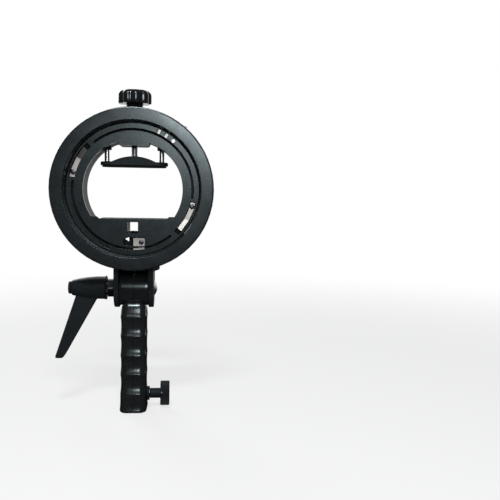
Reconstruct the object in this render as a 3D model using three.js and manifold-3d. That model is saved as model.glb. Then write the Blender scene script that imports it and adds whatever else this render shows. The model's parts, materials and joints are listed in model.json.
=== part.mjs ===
// A flash mount bracket: a pistol grip for a light stand, a tilting head that clamps a flash by its
// body, and a round bayonet in front that carries light shapers.
// Millimetres, +Z up. The origin is the middle of the stand socket's mouth, under the grip.
// The bayonet faces -Y, the dome of the pivot bolt is on +X and the clamping lever on -X.
import * as THREE from "three";
import { mergeVertices } from "three/addons/utils/BufferGeometryUtils.js";
import Module from "manifold-3d";

const wasm = await Module();
wasm.setup();

// Sizes that every piece shares
const gap = 0.3; // between faces that touch
const overrun = 1; // how far a cut runs past a face
const weld = 1e-4; // vertices nearer than this are one
const ring_steps = 64; // facets round the bayonet
const round_steps = 24; // facets round hubs and knobs
const pin_steps = 10; // facets round pins and screws
const arc_steps = 8.5; // facets round an arc of one millimetre, more with the root of the radius
const quarter_turn_angle = 90; // in degrees, as every angle here
const half_turn_angle = 180;
const full_turn_angle = 360;

// Pivot of the head on the grip
const pivot_z = 119.4;
const barrel_radius = 16;
const barrel_half_length = 13.7;
const barrel_rim_rise = 0.8;
const barrel_rim_radius = barrel_radius + barrel_rim_rise;
const barrel_rim_width = 3;
const barrel_steps = 36;
const seam_gap = 0.3; // between the two halves of the grip
const bolt_radius = 4;
const bolt_end_x = 32; // how far the bolt reaches on the lever's side
const dome_radius = 7.5;
const dome_height = 3;
const bolt_square = 8; // side of the square neck under the dome
const washer_radius = 11.5;
const washer_thickness = 1.2;

// Grip
const grip_half_width = 12.5;
const grip_back = 18.5; // from the pivot's plane to the palm
const grip_front = 18.3; // from the pivot's plane to the crest between two fingers
const grip_corner = 7; // rounding of the finger side
const grip_top_z = 107.4;
const grip_shoulder = 9;
const grip_shoulder_inset = 7;
const grip_flare = 0.7; // how much wider the foot is
const grip_flare_back = 2.6; // how much further the foot reaches behind
const grip_flare_height = 12;
const grip_foot_round = 2.2;
const finger_pitch = 18.7;
const finger_depth = 2.8;
const finger_first_z = 18.4; // height of the lowest crest
const finger_count = 5;
const grip_back_steps = 10;
const grip_corner_steps = 4;
const finger_steps = 36; // facets round the whole cylinder that one finger's hollow is cut with
const grip_wall = 3.2;
const grip_hollow_low_z = 47;
const grip_hollow_high_z = 93;
const grip_screw_y = 3;
const grip_screw_low_z = 54;
const grip_screw_high_z = 86;
const grip_screw_radius = 1.5;
const grip_screw_head_radius = 2.9;
const grip_screw_head = 2;
const grip_screw_reach = 8; // past the seam
const grip_screw_sink = 1; // head below the surface
const screw_play = 0.3; // between a screw and its hole
const grip_boss_radius = 4.2;

// Socket for the stand's stud, and its thumbscrew
const socket_radius = 8.1;
const sleeve_radius = 9.4;
const sleeve_low_z = 0.6;
const sleeve_high_z = 40;
const thumb_z = 14.7;
const bush_flange_radius = 6.85;
const bush_flange = 2.3;
const bush_radius = 5.4;
const bush_inner_x = 9.9;
const stud_radius = 4;
const shoe_radius = 3.2;
const shoe_length = 2.2;
const shoe_tip_x = 7.5;
const stem_radius = 4.9;
const stem_start_x = 15.5;
const stem_end_x = 26;
const wing_thickness = 8.6;
const wing_half_length = 11.9;
const wing_half_width = 3.9;
const wing_sweep = 3.2; // how far each half of the wing curls aside
const wing_belly_share = 0.67; // how far out a half of the wing is full
const stud_hold = 6; // how deep the stud sits in the wing

// Ring with the bayonet
const ring_z = 215; // height of the ring's centre
const face_y = -38.5;
const window_radius = 46;
const collar_wall = 3.5;
const collar_radius = window_radius + collar_wall;
const plate_land = 8.3; // between the window and the groove
const slot_inner_radius = window_radius + plate_land;
const slot_width = 2.2;
const slot_outer_radius = slot_inner_radius + slot_width;
const lug_overlap = 0.1; // of a lug window into the plate's land
const lug_inner_radius = slot_inner_radius - lug_overlap;
const lug_width = 5.5;
const lug_outer_radius = lug_inner_radius + lug_width;
const plate_rim = 1.5; // outside the lug windows
const plate_radius = lug_outer_radius + plate_rim;
const plate_play = 0.4; // round the plate in its recess
const recess_radius = plate_radius + plate_play;
const recess_draft = 1.3; // how much wider the recess is at the face
const mouth_radius = recess_radius + recess_draft;
const shell_wall = 2.1; // at the shell's end
const shell_end_radius = recess_radius + shell_wall;
const shell_draft = 1.5; // how much wider the shell is at the flange
const shell_radius = shell_end_radius + shell_draft;
const flange_width = 9.8;
const flange_radius = shell_radius + flange_width;
const flange_thickness = 4;
const flange_edge = 0.9;
const flange_round = 1.8; // of the front's outer edge
const flange_round_steps = 2;
const recess_depth = 11;
const gusset_width = 6.4;
const gusset_inset = 1.3; // from the flange's edge
const gusset_drop = flange_radius - gusset_inset; // its lowest point under the ring's centre
const gusset_rise = 2.4;

// Bayonet plate
const plate_thickness = 3;
const tab_half_width = 11.4;
const tab_root_half_width = 14.8;
const tab_depth = 5.6; // under the window's top
const tab_height = window_radius - tab_depth; // above the ring's centre
const rest_drop = 27.3; // the flash rests this far under the centre
const rest_margin = 6; // from the window's side
const rest_half_width = Math.sqrt(window_radius ** 2 - rest_drop ** 2) - rest_margin;
const rest_end_rise = 2.1;
const rest_end_width = 2.5;
const rest_end_half_width = rest_half_width + rest_end_width;
const slot_from_angle = -7.1;
const slot_to_angle = 129.2;
const lug_from_angle = 135;
const lug_to_angle = 169;
const stop_angle = 62.9;
const stop_half_angle = 3.6;
const stop_land = 1.1; // between the groove and a stop's pocket
const stop_inner_radius = slot_outer_radius + stop_land;
const stop_width = 2.3;
const stop_outer_radius = stop_inner_radius + stop_width;
const stop_pocket_angle = 4.6;
const umbrella_width = 9.5;
const umbrella_height = 10.6;
const umbrella_below = 8.5; // under the flash's rest
const umbrella_drop = rest_drop + umbrella_below;
const housing_wall = 2.5;
const port_left_x = -9;
const port_right_x = 11.4;
const port_gap = 1; // under the umbrella's housing
const port_high = -umbrella_drop - umbrella_height / 2 - housing_wall - port_gap;
const port_land = 1.7; // between the port and the groove
const port_low = -slot_inner_radius + port_land;
const port_pocket_x = 0.1; // the part of the port left of this is deeper
const port_pocket_depth = 2;
const port_hole_inset = 0.8; // a three-cornered hole goes right through the port's upper left
const port_hole_width = 4.3;
const port_hole_drop = 0.4;
const port_hole_corner_drop = 2.1;
const port_hole_height = 4.3;

// Springs in the bayonet
const leaf_thickness = 0.8;
const leaf_inset = 0.6; // between a leaf and its window's sides
const leaf_tip_inset_angle = 4.6; // from the window's end
const leaf_tip_angle = lug_from_angle + leaf_tip_inset_angle;
const leaf_flat_angle = 18; // how much of the leaf lies flat
const leaf_bend_angle = lug_to_angle - leaf_flat_angle;
const leaf_tip_rise = 2.6;
const leaf_screw_inset_angle = 4.5;
const leaf_screw_angle = lug_to_angle - leaf_screw_inset_angle;
const leaf_screw_ring = (lug_inner_radius + lug_outer_radius) / 2;
const leaf_steps = 5;
const small_screw_radius = 1.2;
const small_head_radius = 2.4;
const small_head = 1.3;
const leaf_boss_radius = 3;
const back_boss_radius = 3.2;
const back_boss_height = 2.6;
const back_boss_web = 1.4;
const second_boss_x = 25.7;
const second_boss_below = 4.5; // outside the collar
const second_boss_drop = collar_radius + second_boss_below;
const second_boss_radius = 2.6;
const second_boss_height = 1;
const groove_leaf_left_x = 0.4;
const groove_leaf_reach = 0.7; // past the groove's outer edge
const groove_leaf_low = -slot_outer_radius - groove_leaf_reach;
const groove_leaf_end = 0.8; // the part that turns back
const groove_leaf_bend = groove_leaf_low + groove_leaf_end;
const groove_leaf_hook = 0.6;
const groove_screw_x = 7.8;
const groove_screw_below = 4.7; // under the port's top
const groove_screw_drop = groove_screw_below - port_high;

// Yoke: floor of the ring, collar, flash shelf, housings and ears
const floor_inset = 0.2; // from the shell's end
const floor_radius = shell_end_radius - floor_inset;
const floor_thickness = 2.3;
const leaf_room = 3.5; // for the springs, between the plate and the floor
const rim_y = 4;
const tangent_angle = 38; // the collar's sides leave the circle this far under the middle
const ear_inner_x = barrel_half_length + gap;
const ear_thickness = 4.7;
const ear_outer_x = ear_inner_x + ear_thickness;
const ear_edge = 1.9; // outside the barrel's rim
const ear_radius = barrel_rim_radius + ear_edge;
const rim_low = -window_radius; // the rim's straight edge ends here
const rim_slope = 14;
const ear_high = rim_low - rim_slope; // and the ear's full depth starts here
const shelf_thickness = 2.6;
const web_thickness = 3.4;
const web_overlap = 0.6; // above the port's top
const web_high = port_high + web_overlap;
const hood_play = 4.2; // round the barrel's rim
const hood_radius = barrel_rim_radius + hood_play;
const hood_thickness = 2.4;
const hood_rear_angle = 38; // how far down behind it comes, from level
const ear_rib_y = -13;
const ear_rib_high = -57;
const ear_rib_width = 1.4;
const ear_rib_height = 1;
const nut_housing_half_width = 17;
const nut_housing_rise = 0.9; // above the collar
const nut_housing_top = collar_radius + nut_housing_rise;
const bump_x = -7;
const bump_width = 5;
const bump_height = 1.6;
const bump_depth = 4;

// Flash clamp
const clamp_y = -8.5;
const clamp_screw_radius = 3;
const clamp_neck_radius = 2.2;
const rod_inset = 5.3; // inside the rest's ends
const rod_x = rest_half_width - rod_inset;
const rod_radius = 2.5;
const rod_round = 1;
const rod_overhang = 2.8; // above the shell
const rod_top = shell_radius + rod_overhang; // above the ring's centre
const rod_boss_radius = 4.4;
const rod_boss_show = 1.1; // inside the window's edge
const rod_boss_low = Math.sqrt(window_radius ** 2 - rod_x ** 2) - rod_boss_show;
const rod_boss_height = 4.8;
const rod_boss_high = rod_boss_low + rod_boss_height;
const guide_play = 0.35; // between a rod or the screw and its guide
const shoe_below = 18; // its plate's underside, under the tab
const shoe_plate_bottom = tab_height - shoe_below;
const shoe_plate_thickness = 3.5;
const shoe_overhang = 0.8; // past the rest's ends
const shoe_half_length = rest_half_width + shoe_overhang;
const shoe_half_depth = 10;
const shoe_hump_height = 8.7; // from the plate's underside
const shoe_hump_top = shoe_plate_bottom + shoe_hump_height;
const shoe_hump_half_width = 20.6;
const shoe_hump_steps = 6;
const shoe_edge = 0.8;
const shoe_sink_radius = 6;
const shoe_roof = 3.8; // left over the sink
const clip_radius = 4.6;
const clip_thickness = 0.8;
const pad_thickness = 1.2;
const pad_inset = 1.5;
const rod_seat = 2.6; // how deep a rod sits in the shoe
const nut_half_length = 13;
const nut_floor = 2.1; // housing under the nut
const nut_low = tab_height + nut_floor;
const nut_height = 5.1;
const nut_high = nut_low + nut_height;
const nut_back_y = 0.5;
const nut_front_y = -15;
const nut_screw_x = 10;
const nut_screw_length = 8;
const knob_radius = 15.8;
const knob_wave = 0.75;
const knob_lobes = 9;
const knob_rise = 15.3; // above the shell, for the clamp's travel
const knob_low = shell_radius + knob_rise; // above the ring's centre
const knob_height = 13.1;
const knob_high = knob_low + knob_height;
const knob_round = 5;
const knob_round_steps = 3;
const knob_lobe_steps = 5;
const knob_foot = 0.8;
const knob_hub_radius = 8.4;
const knob_hub_low_radius = 7.2;
const knob_hub_drop = 4;
const knob_hold = 9; // how deep the screw sits in the knob

// Bayonet lock
const lock_angle = 50.6;
const lock_inset = 2.8; // from the plate's edge
const lock_ring = plate_radius - lock_inset;
const lock_pin_radius = 1.8;
const lock_pin_front = 1.1; // how far the tip stands out of the plate
const lock_pin_tail_radius = 0.9;
const lock_travel = 3.5;
const release_radius = 1.6;
const release_overhang = 1.8; // past the flange
const release_reach = flange_radius + release_overhang;
const release_y = -22.3;
const release_root = 0.4; // depth of the release pin's seat in the lock pin
const lock_cover_from_angle = 29;
const lock_cover_to_angle = 78;
const lock_cover_gap = 1.1; // outside the collar
const lock_cover_inner = collar_radius + lock_cover_gap;
const lock_cover_inset = 1.5; // from the floor's edge
const lock_cover_outer = floor_radius - lock_cover_inset;
const lock_cover_thickness = 3;
const lock_block_height = 6.2;
const lock_bridge_height = 5.2; // over the release pin's slot, between the blocks
const lock_slot_half_width = 2.1;
const lock_block_angle = 17; // how far a block reaches from the slot
const lock_bridge_overlap_angle = 1; // in degrees, into the blocks
const lock_screw_inset = 1.2; // inside the lock pin's place
const lock_screw_ring = lock_ring - lock_screw_inset;
const lock_screw_angles = [34.8, 56.5, 73.3];
const lock_tail_inset = 2.4; // the pin's tail ends this far under the blocks' tops
const lock_spring_length = 1.6;
const lock_spring_radius = 1.7;
const lock_spring_wire = 0.5;

// Umbrella channel
const shaft_leaf_half_width = 4;
const shaft_leaf_thickness = 0.5;
const shaft_leaf_front_y = -25;
const shaft_leaf_back_y = 2;
const shaft_leaf_rise = 1.9;
const shaft_leaf_steps = 6;
const shaft_leaf_tab = 6; // flat end that its screw holds

// Clamping lever
const insert_washer_radius = 8.6;
const insert_washer_thickness = 0.9;
const insert_base_end_x = -25.1;
const insert_sides = 6;
const insert_base_flats = 16.8;
const insert_base_radius = 9.1;
const spline_radius = 6.8;
const spline_depth = 0.55;
const spline_teeth = 24;
const spline_end_x = -40;
const hub_start_x = -26.4;
const hub_end_x = -60.2;
const hub_lip_radius = 11.6;
const hub_lip_width = 1.2;
const hub_radius = 11.1;
const hub_belly_x = -46; // what the hub's curve bends towards
const hub_belly_radius = 11.3;
const hub_round = 0.8;
const hub_end_radius = 7.4;
const hub_steps = 4;
const hub_web_start_x = -44;
const hub_web_end_x = -46.6;
const hub_bore_radius = 5.5;
const lever_screw_radius = 2.5;
const lever_screw_end_x = -34;
const lever_head_radius = 4.7;
const lever_head_start_x = -54.2;
const lever_head_end_x = -57.2;
const lever_spring_length = 2.9;
const lever_spring_wire = 1.1;
const cap_start_x = -58;
const cap_end_x = -63.1;
const cap_brim_radius = 6.2;
const blade_root_outer_x = -55.3;
const blade_root_inner_x = -33.3;
const blade_tip_outer_x = -76.2;
const blade_tip_inner_x = -68.2;
const blade_tip_drop = 68.6;
const blade_half_depth = 5;
const blade_wall = 2;
const blade_floor = 2.6;
const blade_corner = 2.2;

// Places worked out from the sizes above
const plate_front_y = face_y + recess_depth;
const plate_back_y = plate_front_y + plate_thickness;
const floor_front_y = plate_back_y + leaf_room;
const floor_back_y = floor_front_y + floor_thickness; // flush with the ears' front edges
const flange_back_y = face_y + flange_thickness;
const shell_end_y = floor_front_y - gap;
const ears_drop = ring_z - pivot_z; // from the ring's centre down to the pivot
const thumb_inner_x = grip_half_width + gap;
const grip_reach = barrel_half_length + grip_half_width; // well past the grip's sides
const gusset_near_x = ear_outer_x + gap;
const gusset_far_x = gusset_near_x + gusset_width;

// Finishes
const finish = (color, roughness, metalness = 0) =>
  new THREE.MeshStandardMaterial({ color, roughness, metalness });
const black_grained = finish(0x26282a, 0.62);
const black_satin = finish(0x1b1c1e, 0.45);
const black_gloss = finish(0x121314, 0.22);
const black_rubber = finish(0x101010, 0.9);
const bright_zinc = finish(0xc9cccd, 0.3, 1);
const dark_steel = finish(0x6f7274, 0.42, 1);
const alloy = finish(0x9a9c9e, 0.5, 1);

const radians = (degrees) => (degrees * Math.PI) / half_turn_angle;
const polar = (radius, degrees) => [
  radius * Math.cos(radians(degrees)),
  radius * Math.sin(radians(degrees)),
];

// A closed geometry as a solid that can be joined and cut
function solid(shape) {
  if (!shape.isBufferGeometry) return shape;
  const bare = shape.index ? shape.toNonIndexed() : shape.clone();
  bare.deleteAttribute("normal");
  bare.deleteAttribute("uv");
  const merged = mergeVertices(bare, weld);
  return new wasm.Manifold(
    new wasm.Mesh({
      numProp: 3,
      vertProperties: merged.attributes.position.array,
      triVerts: new Uint32Array(merged.index.array),
    }),
  );
}

const join = (...shapes) => shapes.map(solid).reduce((a, b) => a.add(b));
const cut = (body, ...tools) => tools.map(solid).reduce((a, b) => a.subtract(b), solid(body));
const common = (a, b) => solid(a).intersect(solid(b));

function geometryOf(body) {
  const mesh = body.getMesh();
  const indexed = new THREE.BufferGeometry();
  indexed.setAttribute("position", new THREE.BufferAttribute(mesh.vertProperties, 3));
  indexed.setIndex(new THREE.BufferAttribute(mesh.triVerts, 1));
  const flat = indexed.toNonIndexed();
  flat.computeVertexNormals();
  return flat;
}

// Adds one named piece to a group
function add(group, name, body, material) {
  const mesh = new THREE.Mesh(geometryOf(solid(body)), material);
  mesh.name = name;
  group.add(mesh);
}

// Shapes are built along Y, and these turn them to lie along another axis
const lay = {
  x: (geometry) => geometry.rotateZ(-Math.PI / 2),
  y: (geometry) => geometry,
  z: (geometry) => geometry.rotateX(Math.PI / 2),
};

// A round bar, straight or tapered, from one place on an axis to another
function bar(axis, from, to, radius, place = [0, 0, 0], end_radius = radius, steps = pin_steps) {
  const [low, high] = from < to ? [from, to] : [to, from];
  const [low_radius, high_radius] = from < to ? [radius, end_radius] : [end_radius, radius];
  const geometry = new THREE.CylinderGeometry(high_radius, low_radius, high - low, steps);
  lay[axis](geometry.translate(0, (low + high) / 2, 0));
  return geometry.translate(...place);
}

const block = (x, y, z) =>
  new THREE.BoxGeometry(x[1] - x[0], y[1] - y[0], z[1] - z[0]).translate(
    (x[0] + x[1]) / 2,
    (y[0] + y[1]) / 2,
    (z[0] + z[1]) / 2,
  );

// A profile of [radius, place along the axis] turned round an axis; closed off it or ended on it
function revolve(axis, profile, place = [0, 0, 0], steps = round_steps) {
  const closed = profile[0][0] > 0 ? [...profile, profile[0]] : profile;
  let area = 0;
  closed.forEach(([x, y], i) => {
    const [x2, y2] = closed[(i + 1) % closed.length];
    area += x * y2 - x2 * y;
  });
  const ordered = area > 0 ? closed : [...closed].reverse();
  const points = ordered.map(([x, y]) => new THREE.Vector2(x, y));
  return lay[axis](new THREE.LatheGeometry(points, steps)).translate(...place);
}

const asin_degrees = (share) => (Math.asin(share) * half_turn_angle) / Math.PI;

const outline = (points) => new THREE.Shape(points.map(([x, y]) => new THREE.Vector2(x, y)));

// Points along an arc from one angle to another, with fewer of them on a small arc
function arc(radius, from, to, centre = [0, 0]) {
  const round = Math.min(ring_steps, arc_steps * Math.sqrt(radius));
  const steps = Math.max(1, Math.round((Math.abs(to - from) / full_turn_angle) * round));
  return Array.from({ length: steps + 1 }, (_, i) => {
    const [x, y] = polar(radius, from + ((to - from) * i) / steps);
    return [centre[0] + x, centre[1] + y];
  });
}

// A curve from one point to another that leaves and arrives towards a third
function bend(from, towards, to, steps = 5) {
  return Array.from({ length: steps + 1 }, (_, i) => {
    const t = i / steps;
    return [0, 1].map(
      (k) => (1 - t) ** 2 * from[k] + 2 * t * (1 - t) * towards[k] + t ** 2 * to[k],
    );
  });
}

const extrude = (shape, depth) =>
  new THREE.ExtrudeGeometry(shape, { depth, bevelEnabled: false });

// An outline drawn as seen from the front, given depth from one y to another
function front(shape, y_front, y_back) {
  return extrude(shape, y_back - y_front).rotateX(Math.PI / 2).translate(0, y_back, 0);
}

// An outline drawn in (y, z), given depth from one x to another
function sideways(shape, x_low, x_high) {
  const geometry = extrude(shape, x_high - x_low);
  const axes = [
    new THREE.Vector3(0, 1, 0),
    new THREE.Vector3(0, 0, 1),
    new THREE.Vector3(1, 0, 0),
  ];
  return geometry.applyMatrix4(new THREE.Matrix4().makeBasis(...axes)).translate(x_low, 0, 0);
}

// An outline drawn in (x, y), given height from one z to another
const upright = (shape, z_low, z_high) => extrude(shape, z_high - z_low).translate(0, 0, z_low);

// A closed skin over rings of as many points each, with flat convex ends
function loft(rings) {
  const count = rings[0].length;
  const positions = rings.flat().flatMap((p) => [p.x, p.y, p.z]);
  const index = [];
  for (let r = 0; r + 1 < rings.length; r++) {
    for (let i = 0; i < count; i++) {
      const a = r * count + i;
      const b = r * count + ((i + 1) % count);
      index.push(a, b, b + count, a, b + count, a + count);
    }
  }
  const last = (rings.length - 1) * count;
  for (let i = 1; i + 1 < count; i++) {
    index.push(0, i + 1, i, last, last + i, last + i + 1);
  }
  const geometry = new THREE.BufferGeometry();
  geometry.setAttribute("position", new THREE.Float32BufferAttribute(positions, 3));
  geometry.setIndex(index);
  return geometry;
}

// Part of a flat ring between two radii and two angles, in degrees
function sector(inner, outer, from, to) {
  return outline([...arc(outer, from, to), ...arc(inner, to, from)]);
}

// A slot with round ends along an arc
function arc_slot(inner, outer, from, to) {
  const middle = (inner + outer) / 2;
  const half = (outer - inner) / 2;
  return outline([
    ...arc(outer, from, to),
    ...arc(half, to, to + half_turn_angle, polar(middle, to)).slice(1),
    ...arc(inner, to, from).slice(1),
    ...arc(half, from + half_turn_angle, from + full_turn_angle, polar(middle, from)).slice(1, -1),
  ]);
}

const turned = (geometry, degrees) => geometry.rotateY(-radians(degrees));

// A screw with a round head: the shank goes from the head's seat the other way
function screw(axis, seat, tip, radius, head_radius, head, place) {
  const away = Math.sign(seat - tip);
  return join(
    bar(axis, tip, seat + (away * head) / 2, radius, place),
    bar(axis, seat, seat + away * head, head_radius, place),
  );
}

// Grip

// The grip's level section, larger all round by grow and reaching further behind by back_grow
function grip_section(z, grow, back_grow = 0, front_cut = 0) {
  const half = grip_half_width + grow;
  const back = grip_back - grip_half_width + back_grow;
  const corner = Math.max(grip_corner + grow, half / 4);
  const front_y = -(grip_front + grow - front_cut) + corner;
  const points = [];
  const sweep = (x, y, radius, from, to, steps) => {
    for (let i = 0; i <= steps; i++) {
      const [dx, dy] = polar(radius, from + ((to - from) * i) / steps);
      points.push(new THREE.Vector3(x + dx, y + dy, z));
    }
  };
  const ahead = half_turn_angle + quarter_turn_angle;
  sweep(0, back, half, 0, half_turn_angle, grip_back_steps);
  sweep(-(half - corner), front_y, corner, half_turn_angle, ahead, grip_corner_steps);
  sweep(half - corner, front_y, corner, ahead, full_turn_angle, grip_corner_steps);
  return points;
}

function grip_rings() {
  const rings = [];
  const foot_steps = 2;
  for (let i = 0; i <= foot_steps; i++) {
    const a = (i / foot_steps) * (Math.PI / 2);
    const inset = grip_foot_round * (1 - Math.sin(a));
    const z = grip_foot_round * (1 - Math.cos(a));
    rings.push(grip_section(z, grip_flare - inset, grip_flare_back));
  }
  const flare_steps = 3;
  for (let i = 1; i <= flare_steps; i++) {
    const t = i / flare_steps;
    const left = (1 - t) ** 2;
    const z = grip_foot_round + (grip_flare_height - grip_foot_round) * t;
    rings.push(grip_section(z, grip_flare * left, grip_flare_back * left));
  }
  const shoulder_steps = 4;
  for (let i = 0; i <= shoulder_steps; i++) {
    const a = (i / shoulder_steps) * (Math.PI / 2);
    const z = grip_top_z - grip_shoulder * (1 - Math.sin(a));
    rings.push(grip_section(z, -grip_shoulder_inset * (1 - Math.cos(a))));
  }
  return rings;
}

function finger_cuts() {
  const radius = (finger_pitch ** 2 / 4 + finger_depth ** 2) / (2 * finger_depth);
  const y = -(grip_front + radius - finger_depth);
  const cuts = [];
  for (let i = 0; i < finger_count; i++) {
    const z = finger_first_z + finger_pitch * (i + 1 / 2);
    cuts.push(bar("x", -grip_reach, grip_reach, radius, [0, y, z], radius, finger_steps));
  }
  return cuts;
}

function grip_body() {
  const pivot = [0, 0, pivot_z];
  const rim = (side) =>
    bar(
      "x",
      side * (barrel_half_length - barrel_rim_width),
      side * barrel_half_length,
      barrel_rim_radius,
      pivot,
      barrel_rim_radius,
      barrel_steps,
    );
  const barrel = bar(
    "x",
    -barrel_half_length,
    barrel_half_length,
    barrel_radius,
    pivot,
    barrel_radius,
    barrel_steps,
  );
  const hollow = cut(
    loft([
      grip_section(grip_hollow_low_z, -grip_wall, 0, finger_depth),
      grip_section(grip_hollow_high_z, -grip_wall, 0, finger_depth),
    ]),
    ...[grip_screw_low_z, grip_screw_high_z].map((z) =>
      bar("x", -grip_reach, grip_reach, grip_boss_radius, [0, grip_screw_y, z]),
    ),
  );
  const outside = cut(loft(grip_rings()), ...finger_cuts());
  const seat_radius = washer_radius + gap;
  const seat_depth = washer_thickness + gap;
  const washer_seat = (side) =>
    bar(
      "x",
      side * (barrel_half_length - seat_depth),
      side * grip_reach,
      seat_radius,
      pivot,
      seat_radius,
      round_steps,
    );
  return cut(
    join(outside, barrel, rim(-1), rim(1)),
    hollow,
    bar("x", -grip_reach, grip_reach, bolt_radius + screw_play, pivot),
    washer_seat(-1),
    washer_seat(1),
    bar(
      "z",
      -overrun,
      sleeve_high_z + gap,
      sleeve_radius + gap,
      [0, 0, 0],
      sleeve_radius + gap,
      round_steps,
    ),
    bar("x", 0, grip_reach, bush_radius + gap, [0, 0, thumb_z]),
  );
}

function grip() {
  const group = new THREE.Group();
  const body = grip_body();
  const wide = [-grip_front - flange_radius, grip_front + flange_radius];
  const high = [-overrun, pivot_z + barrel_rim_radius + overrun];
  const half = (side) => {
    const x = [(side * seam_gap) / 2, side * grip_reach];
    return common(body, block(side < 0 ? [x[1], x[0]] : x, wide, high));
  };
  const seat_x = -(grip_half_width - grip_screw_sink - grip_screw_head);
  const screw_places = { lower: grip_screw_low_z, upper: grip_screw_high_z };
  let left = half(-1);
  let right = half(1);
  for (const [name, z] of Object.entries(screw_places)) {
    const place = [0, grip_screw_y, z];
    const hole = grip_screw_radius + screw_play;
    left = cut(
      left,
      bar("x", -grip_reach, 0, hole, place),
      bar("x", -grip_reach, seat_x + gap, grip_screw_head_radius + gap, place),
    );
    right = cut(right, bar("x", 0, grip_screw_reach + overrun, hole, place));
    const made = screw(
      "x",
      seat_x,
      grip_screw_reach,
      grip_screw_radius,
      grip_screw_head_radius,
      grip_screw_head,
      place,
    );
    add(group, "grip_screw_" + name, made, dark_steel);
  }
  add(group, "grip_left_half", left, black_satin);
  add(group, "grip_right_half", right, black_satin);
  for (const [name, side] of [["left", -1], ["right", 1]]) {
    const inner = side * (barrel_half_length - washer_thickness);
    const washer = cut(
      bar(
        "x",
        inner,
        side * barrel_half_length,
        washer_radius,
        [0, 0, pivot_z],
        washer_radius,
        round_steps,
      ),
      bar(
        "x",
        inner - side * overrun,
        side * (barrel_half_length + overrun),
        bolt_radius + screw_play,
        [0, 0, pivot_z],
      ),
    );
    add(group, "friction_washer_" + name, washer, alloy);
  }
  return group;
}

// Stand socket and its thumbscrew
function stand_clamp() {
  const group = new THREE.Group();
  const place = [0, 0, thumb_z];
  const sleeve = cut(
    revolve("z", [
      [socket_radius, sleeve_low_z],
      [sleeve_radius, sleeve_low_z],
      [sleeve_radius, sleeve_high_z],
      [socket_radius, sleeve_high_z],
    ]),
    bar("x", 0, sleeve_radius + overrun, shoe_radius + gap + gap, place),
  );
  add(group, "socket_sleeve", sleeve, alloy);

  const bore = stud_radius + screw_play;
  const flange_x = thumb_inner_x + bush_flange;
  const bush = cut(
    join(
      bar("x", bush_inner_x, flange_x, bush_radius, place),
      bar("x", thumb_inner_x, flange_x, bush_flange_radius, place, bush_flange_radius, round_steps),
    ),
    bar("x", bush_inner_x - overrun, flange_x + overrun, bore, place),
  );
  add(group, "thumbscrew_bush", bush, black_satin);

  const shoe_end_x = shoe_tip_x + shoe_length;
  add(group, "pressure_shoe", bar("x", shoe_tip_x, shoe_end_x, shoe_radius, place), alloy);
  const stud_end_x = stem_end_x - wing_thickness / 2 + stud_hold - gap;
  add(
    group,
    "thumbscrew_stud",
    bar("x", shoe_end_x + gap, stud_end_x, stud_radius, place),
    dark_steel,
  );

  // Each half of the wing curls to its own side, so that a thumb finds it
  const w = wing_half_width;
  const l = wing_half_length;
  const curl = wing_sweep / 2;
  const side = [
    ...bend([-w, 0], [-w, -l / 2], [-w - curl, -l + w / 2]),
    ...bend([-w - curl, -l + w / 2], [-w - curl / 2, -l], [curl / 2, -l]).slice(1),
    ...bend([curl / 2, -l], [w, -l * wing_belly_share], [w, 0]).slice(1, -1),
  ];
  const other_side = side.map(([y, z]) => [-y, -z]);
  const wing_blade = sideways(
    outline([...side, ...other_side]),
    stem_end_x - gap,
    stem_end_x + wing_thickness,
  );
  const wing = cut(
    join(
      wing_blade.translate(0, 0, thumb_z),
      bar("x", stem_start_x, stem_end_x, stem_radius, place, stem_radius, round_steps),
    ),
    bar("x", stem_start_x - overrun, stud_end_x + gap, stud_radius + gap, place),
  );
  add(group, "thumbscrew_wing", wing, black_satin);
  return group;
}

// The right side of the nut housing's tab, from its root in the window's edge to its flat end
function tab_side(inset) {
  const root_x = tab_root_half_width - inset;
  const root_height = Math.sqrt(window_radius ** 2 - tab_root_half_width ** 2) + inset;
  const low = tab_height + inset;
  return bend([root_x, root_height], [root_x, low], [tab_half_width - inset, low]);
}

// Outline of the flash window, with the nut housing's tab on top and the rest below
function window_outline() {
  const end_height = -rest_drop + rest_end_rise;
  const low = asin_degrees(end_height / window_radius);
  const high = quarter_turn_angle - asin_degrees(tab_root_half_width / window_radius);
  const right = [
    [rest_half_width, -rest_drop],
    [rest_end_half_width, end_height],
    ...arc(window_radius, low, high),
    ...tab_side(0).slice(1),
  ];
  return outline([...right, ...right.map(([x, z]) => [-x, z]).reverse()]);
}

function front_ring() {
  const body = revolve(
    "y",
    [
      ...bend(
        [flange_radius - flange_round, face_y],
        [flange_radius, face_y],
        [flange_radius, face_y + flange_round],
        flange_round_steps,
      ),
      [flange_radius, flange_back_y - flange_edge],
      [flange_radius - flange_edge, flange_back_y],
      [shell_radius, flange_back_y],
      [shell_end_radius, shell_end_y],
      [recess_radius, shell_end_y],
      [recess_radius, plate_front_y],
      [mouth_radius, face_y + flange_edge],
      [mouth_radius + flange_edge / 2, face_y],
    ],
    [0, 0, 0],
    ring_steps,
  );
  const gusset_top = -recess_radius;
  const gusset = front(
    outline([
      [gusset_near_x, -gusset_drop - gusset_rise],
      [gusset_far_x, -gusset_drop],
      [gusset_far_x, gusset_top + gusset_rise],
      [gusset_near_x, gusset_top],
    ]),
    flange_back_y - flange_edge,
    shell_end_y,
  );
  const bore = bar("y", face_y, 0, recess_radius, [0, 0, 0], recess_radius, ring_steps);
  const notch = lock_notch(recess_radius - overrun, flange_radius - flange_edge);
  return cut(join(body, cut(gusset, bore)), notch);
}

// Room for the release pin where it passes radially through a wall, and for its travel
function lock_notch(from, to) {
  const half = lock_slot_half_width;
  const y = [release_y - release_radius - gap, release_y + release_radius + lock_travel + gap];
  return turned(block([from, to], y, [-half, half]), lock_angle);
}

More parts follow.
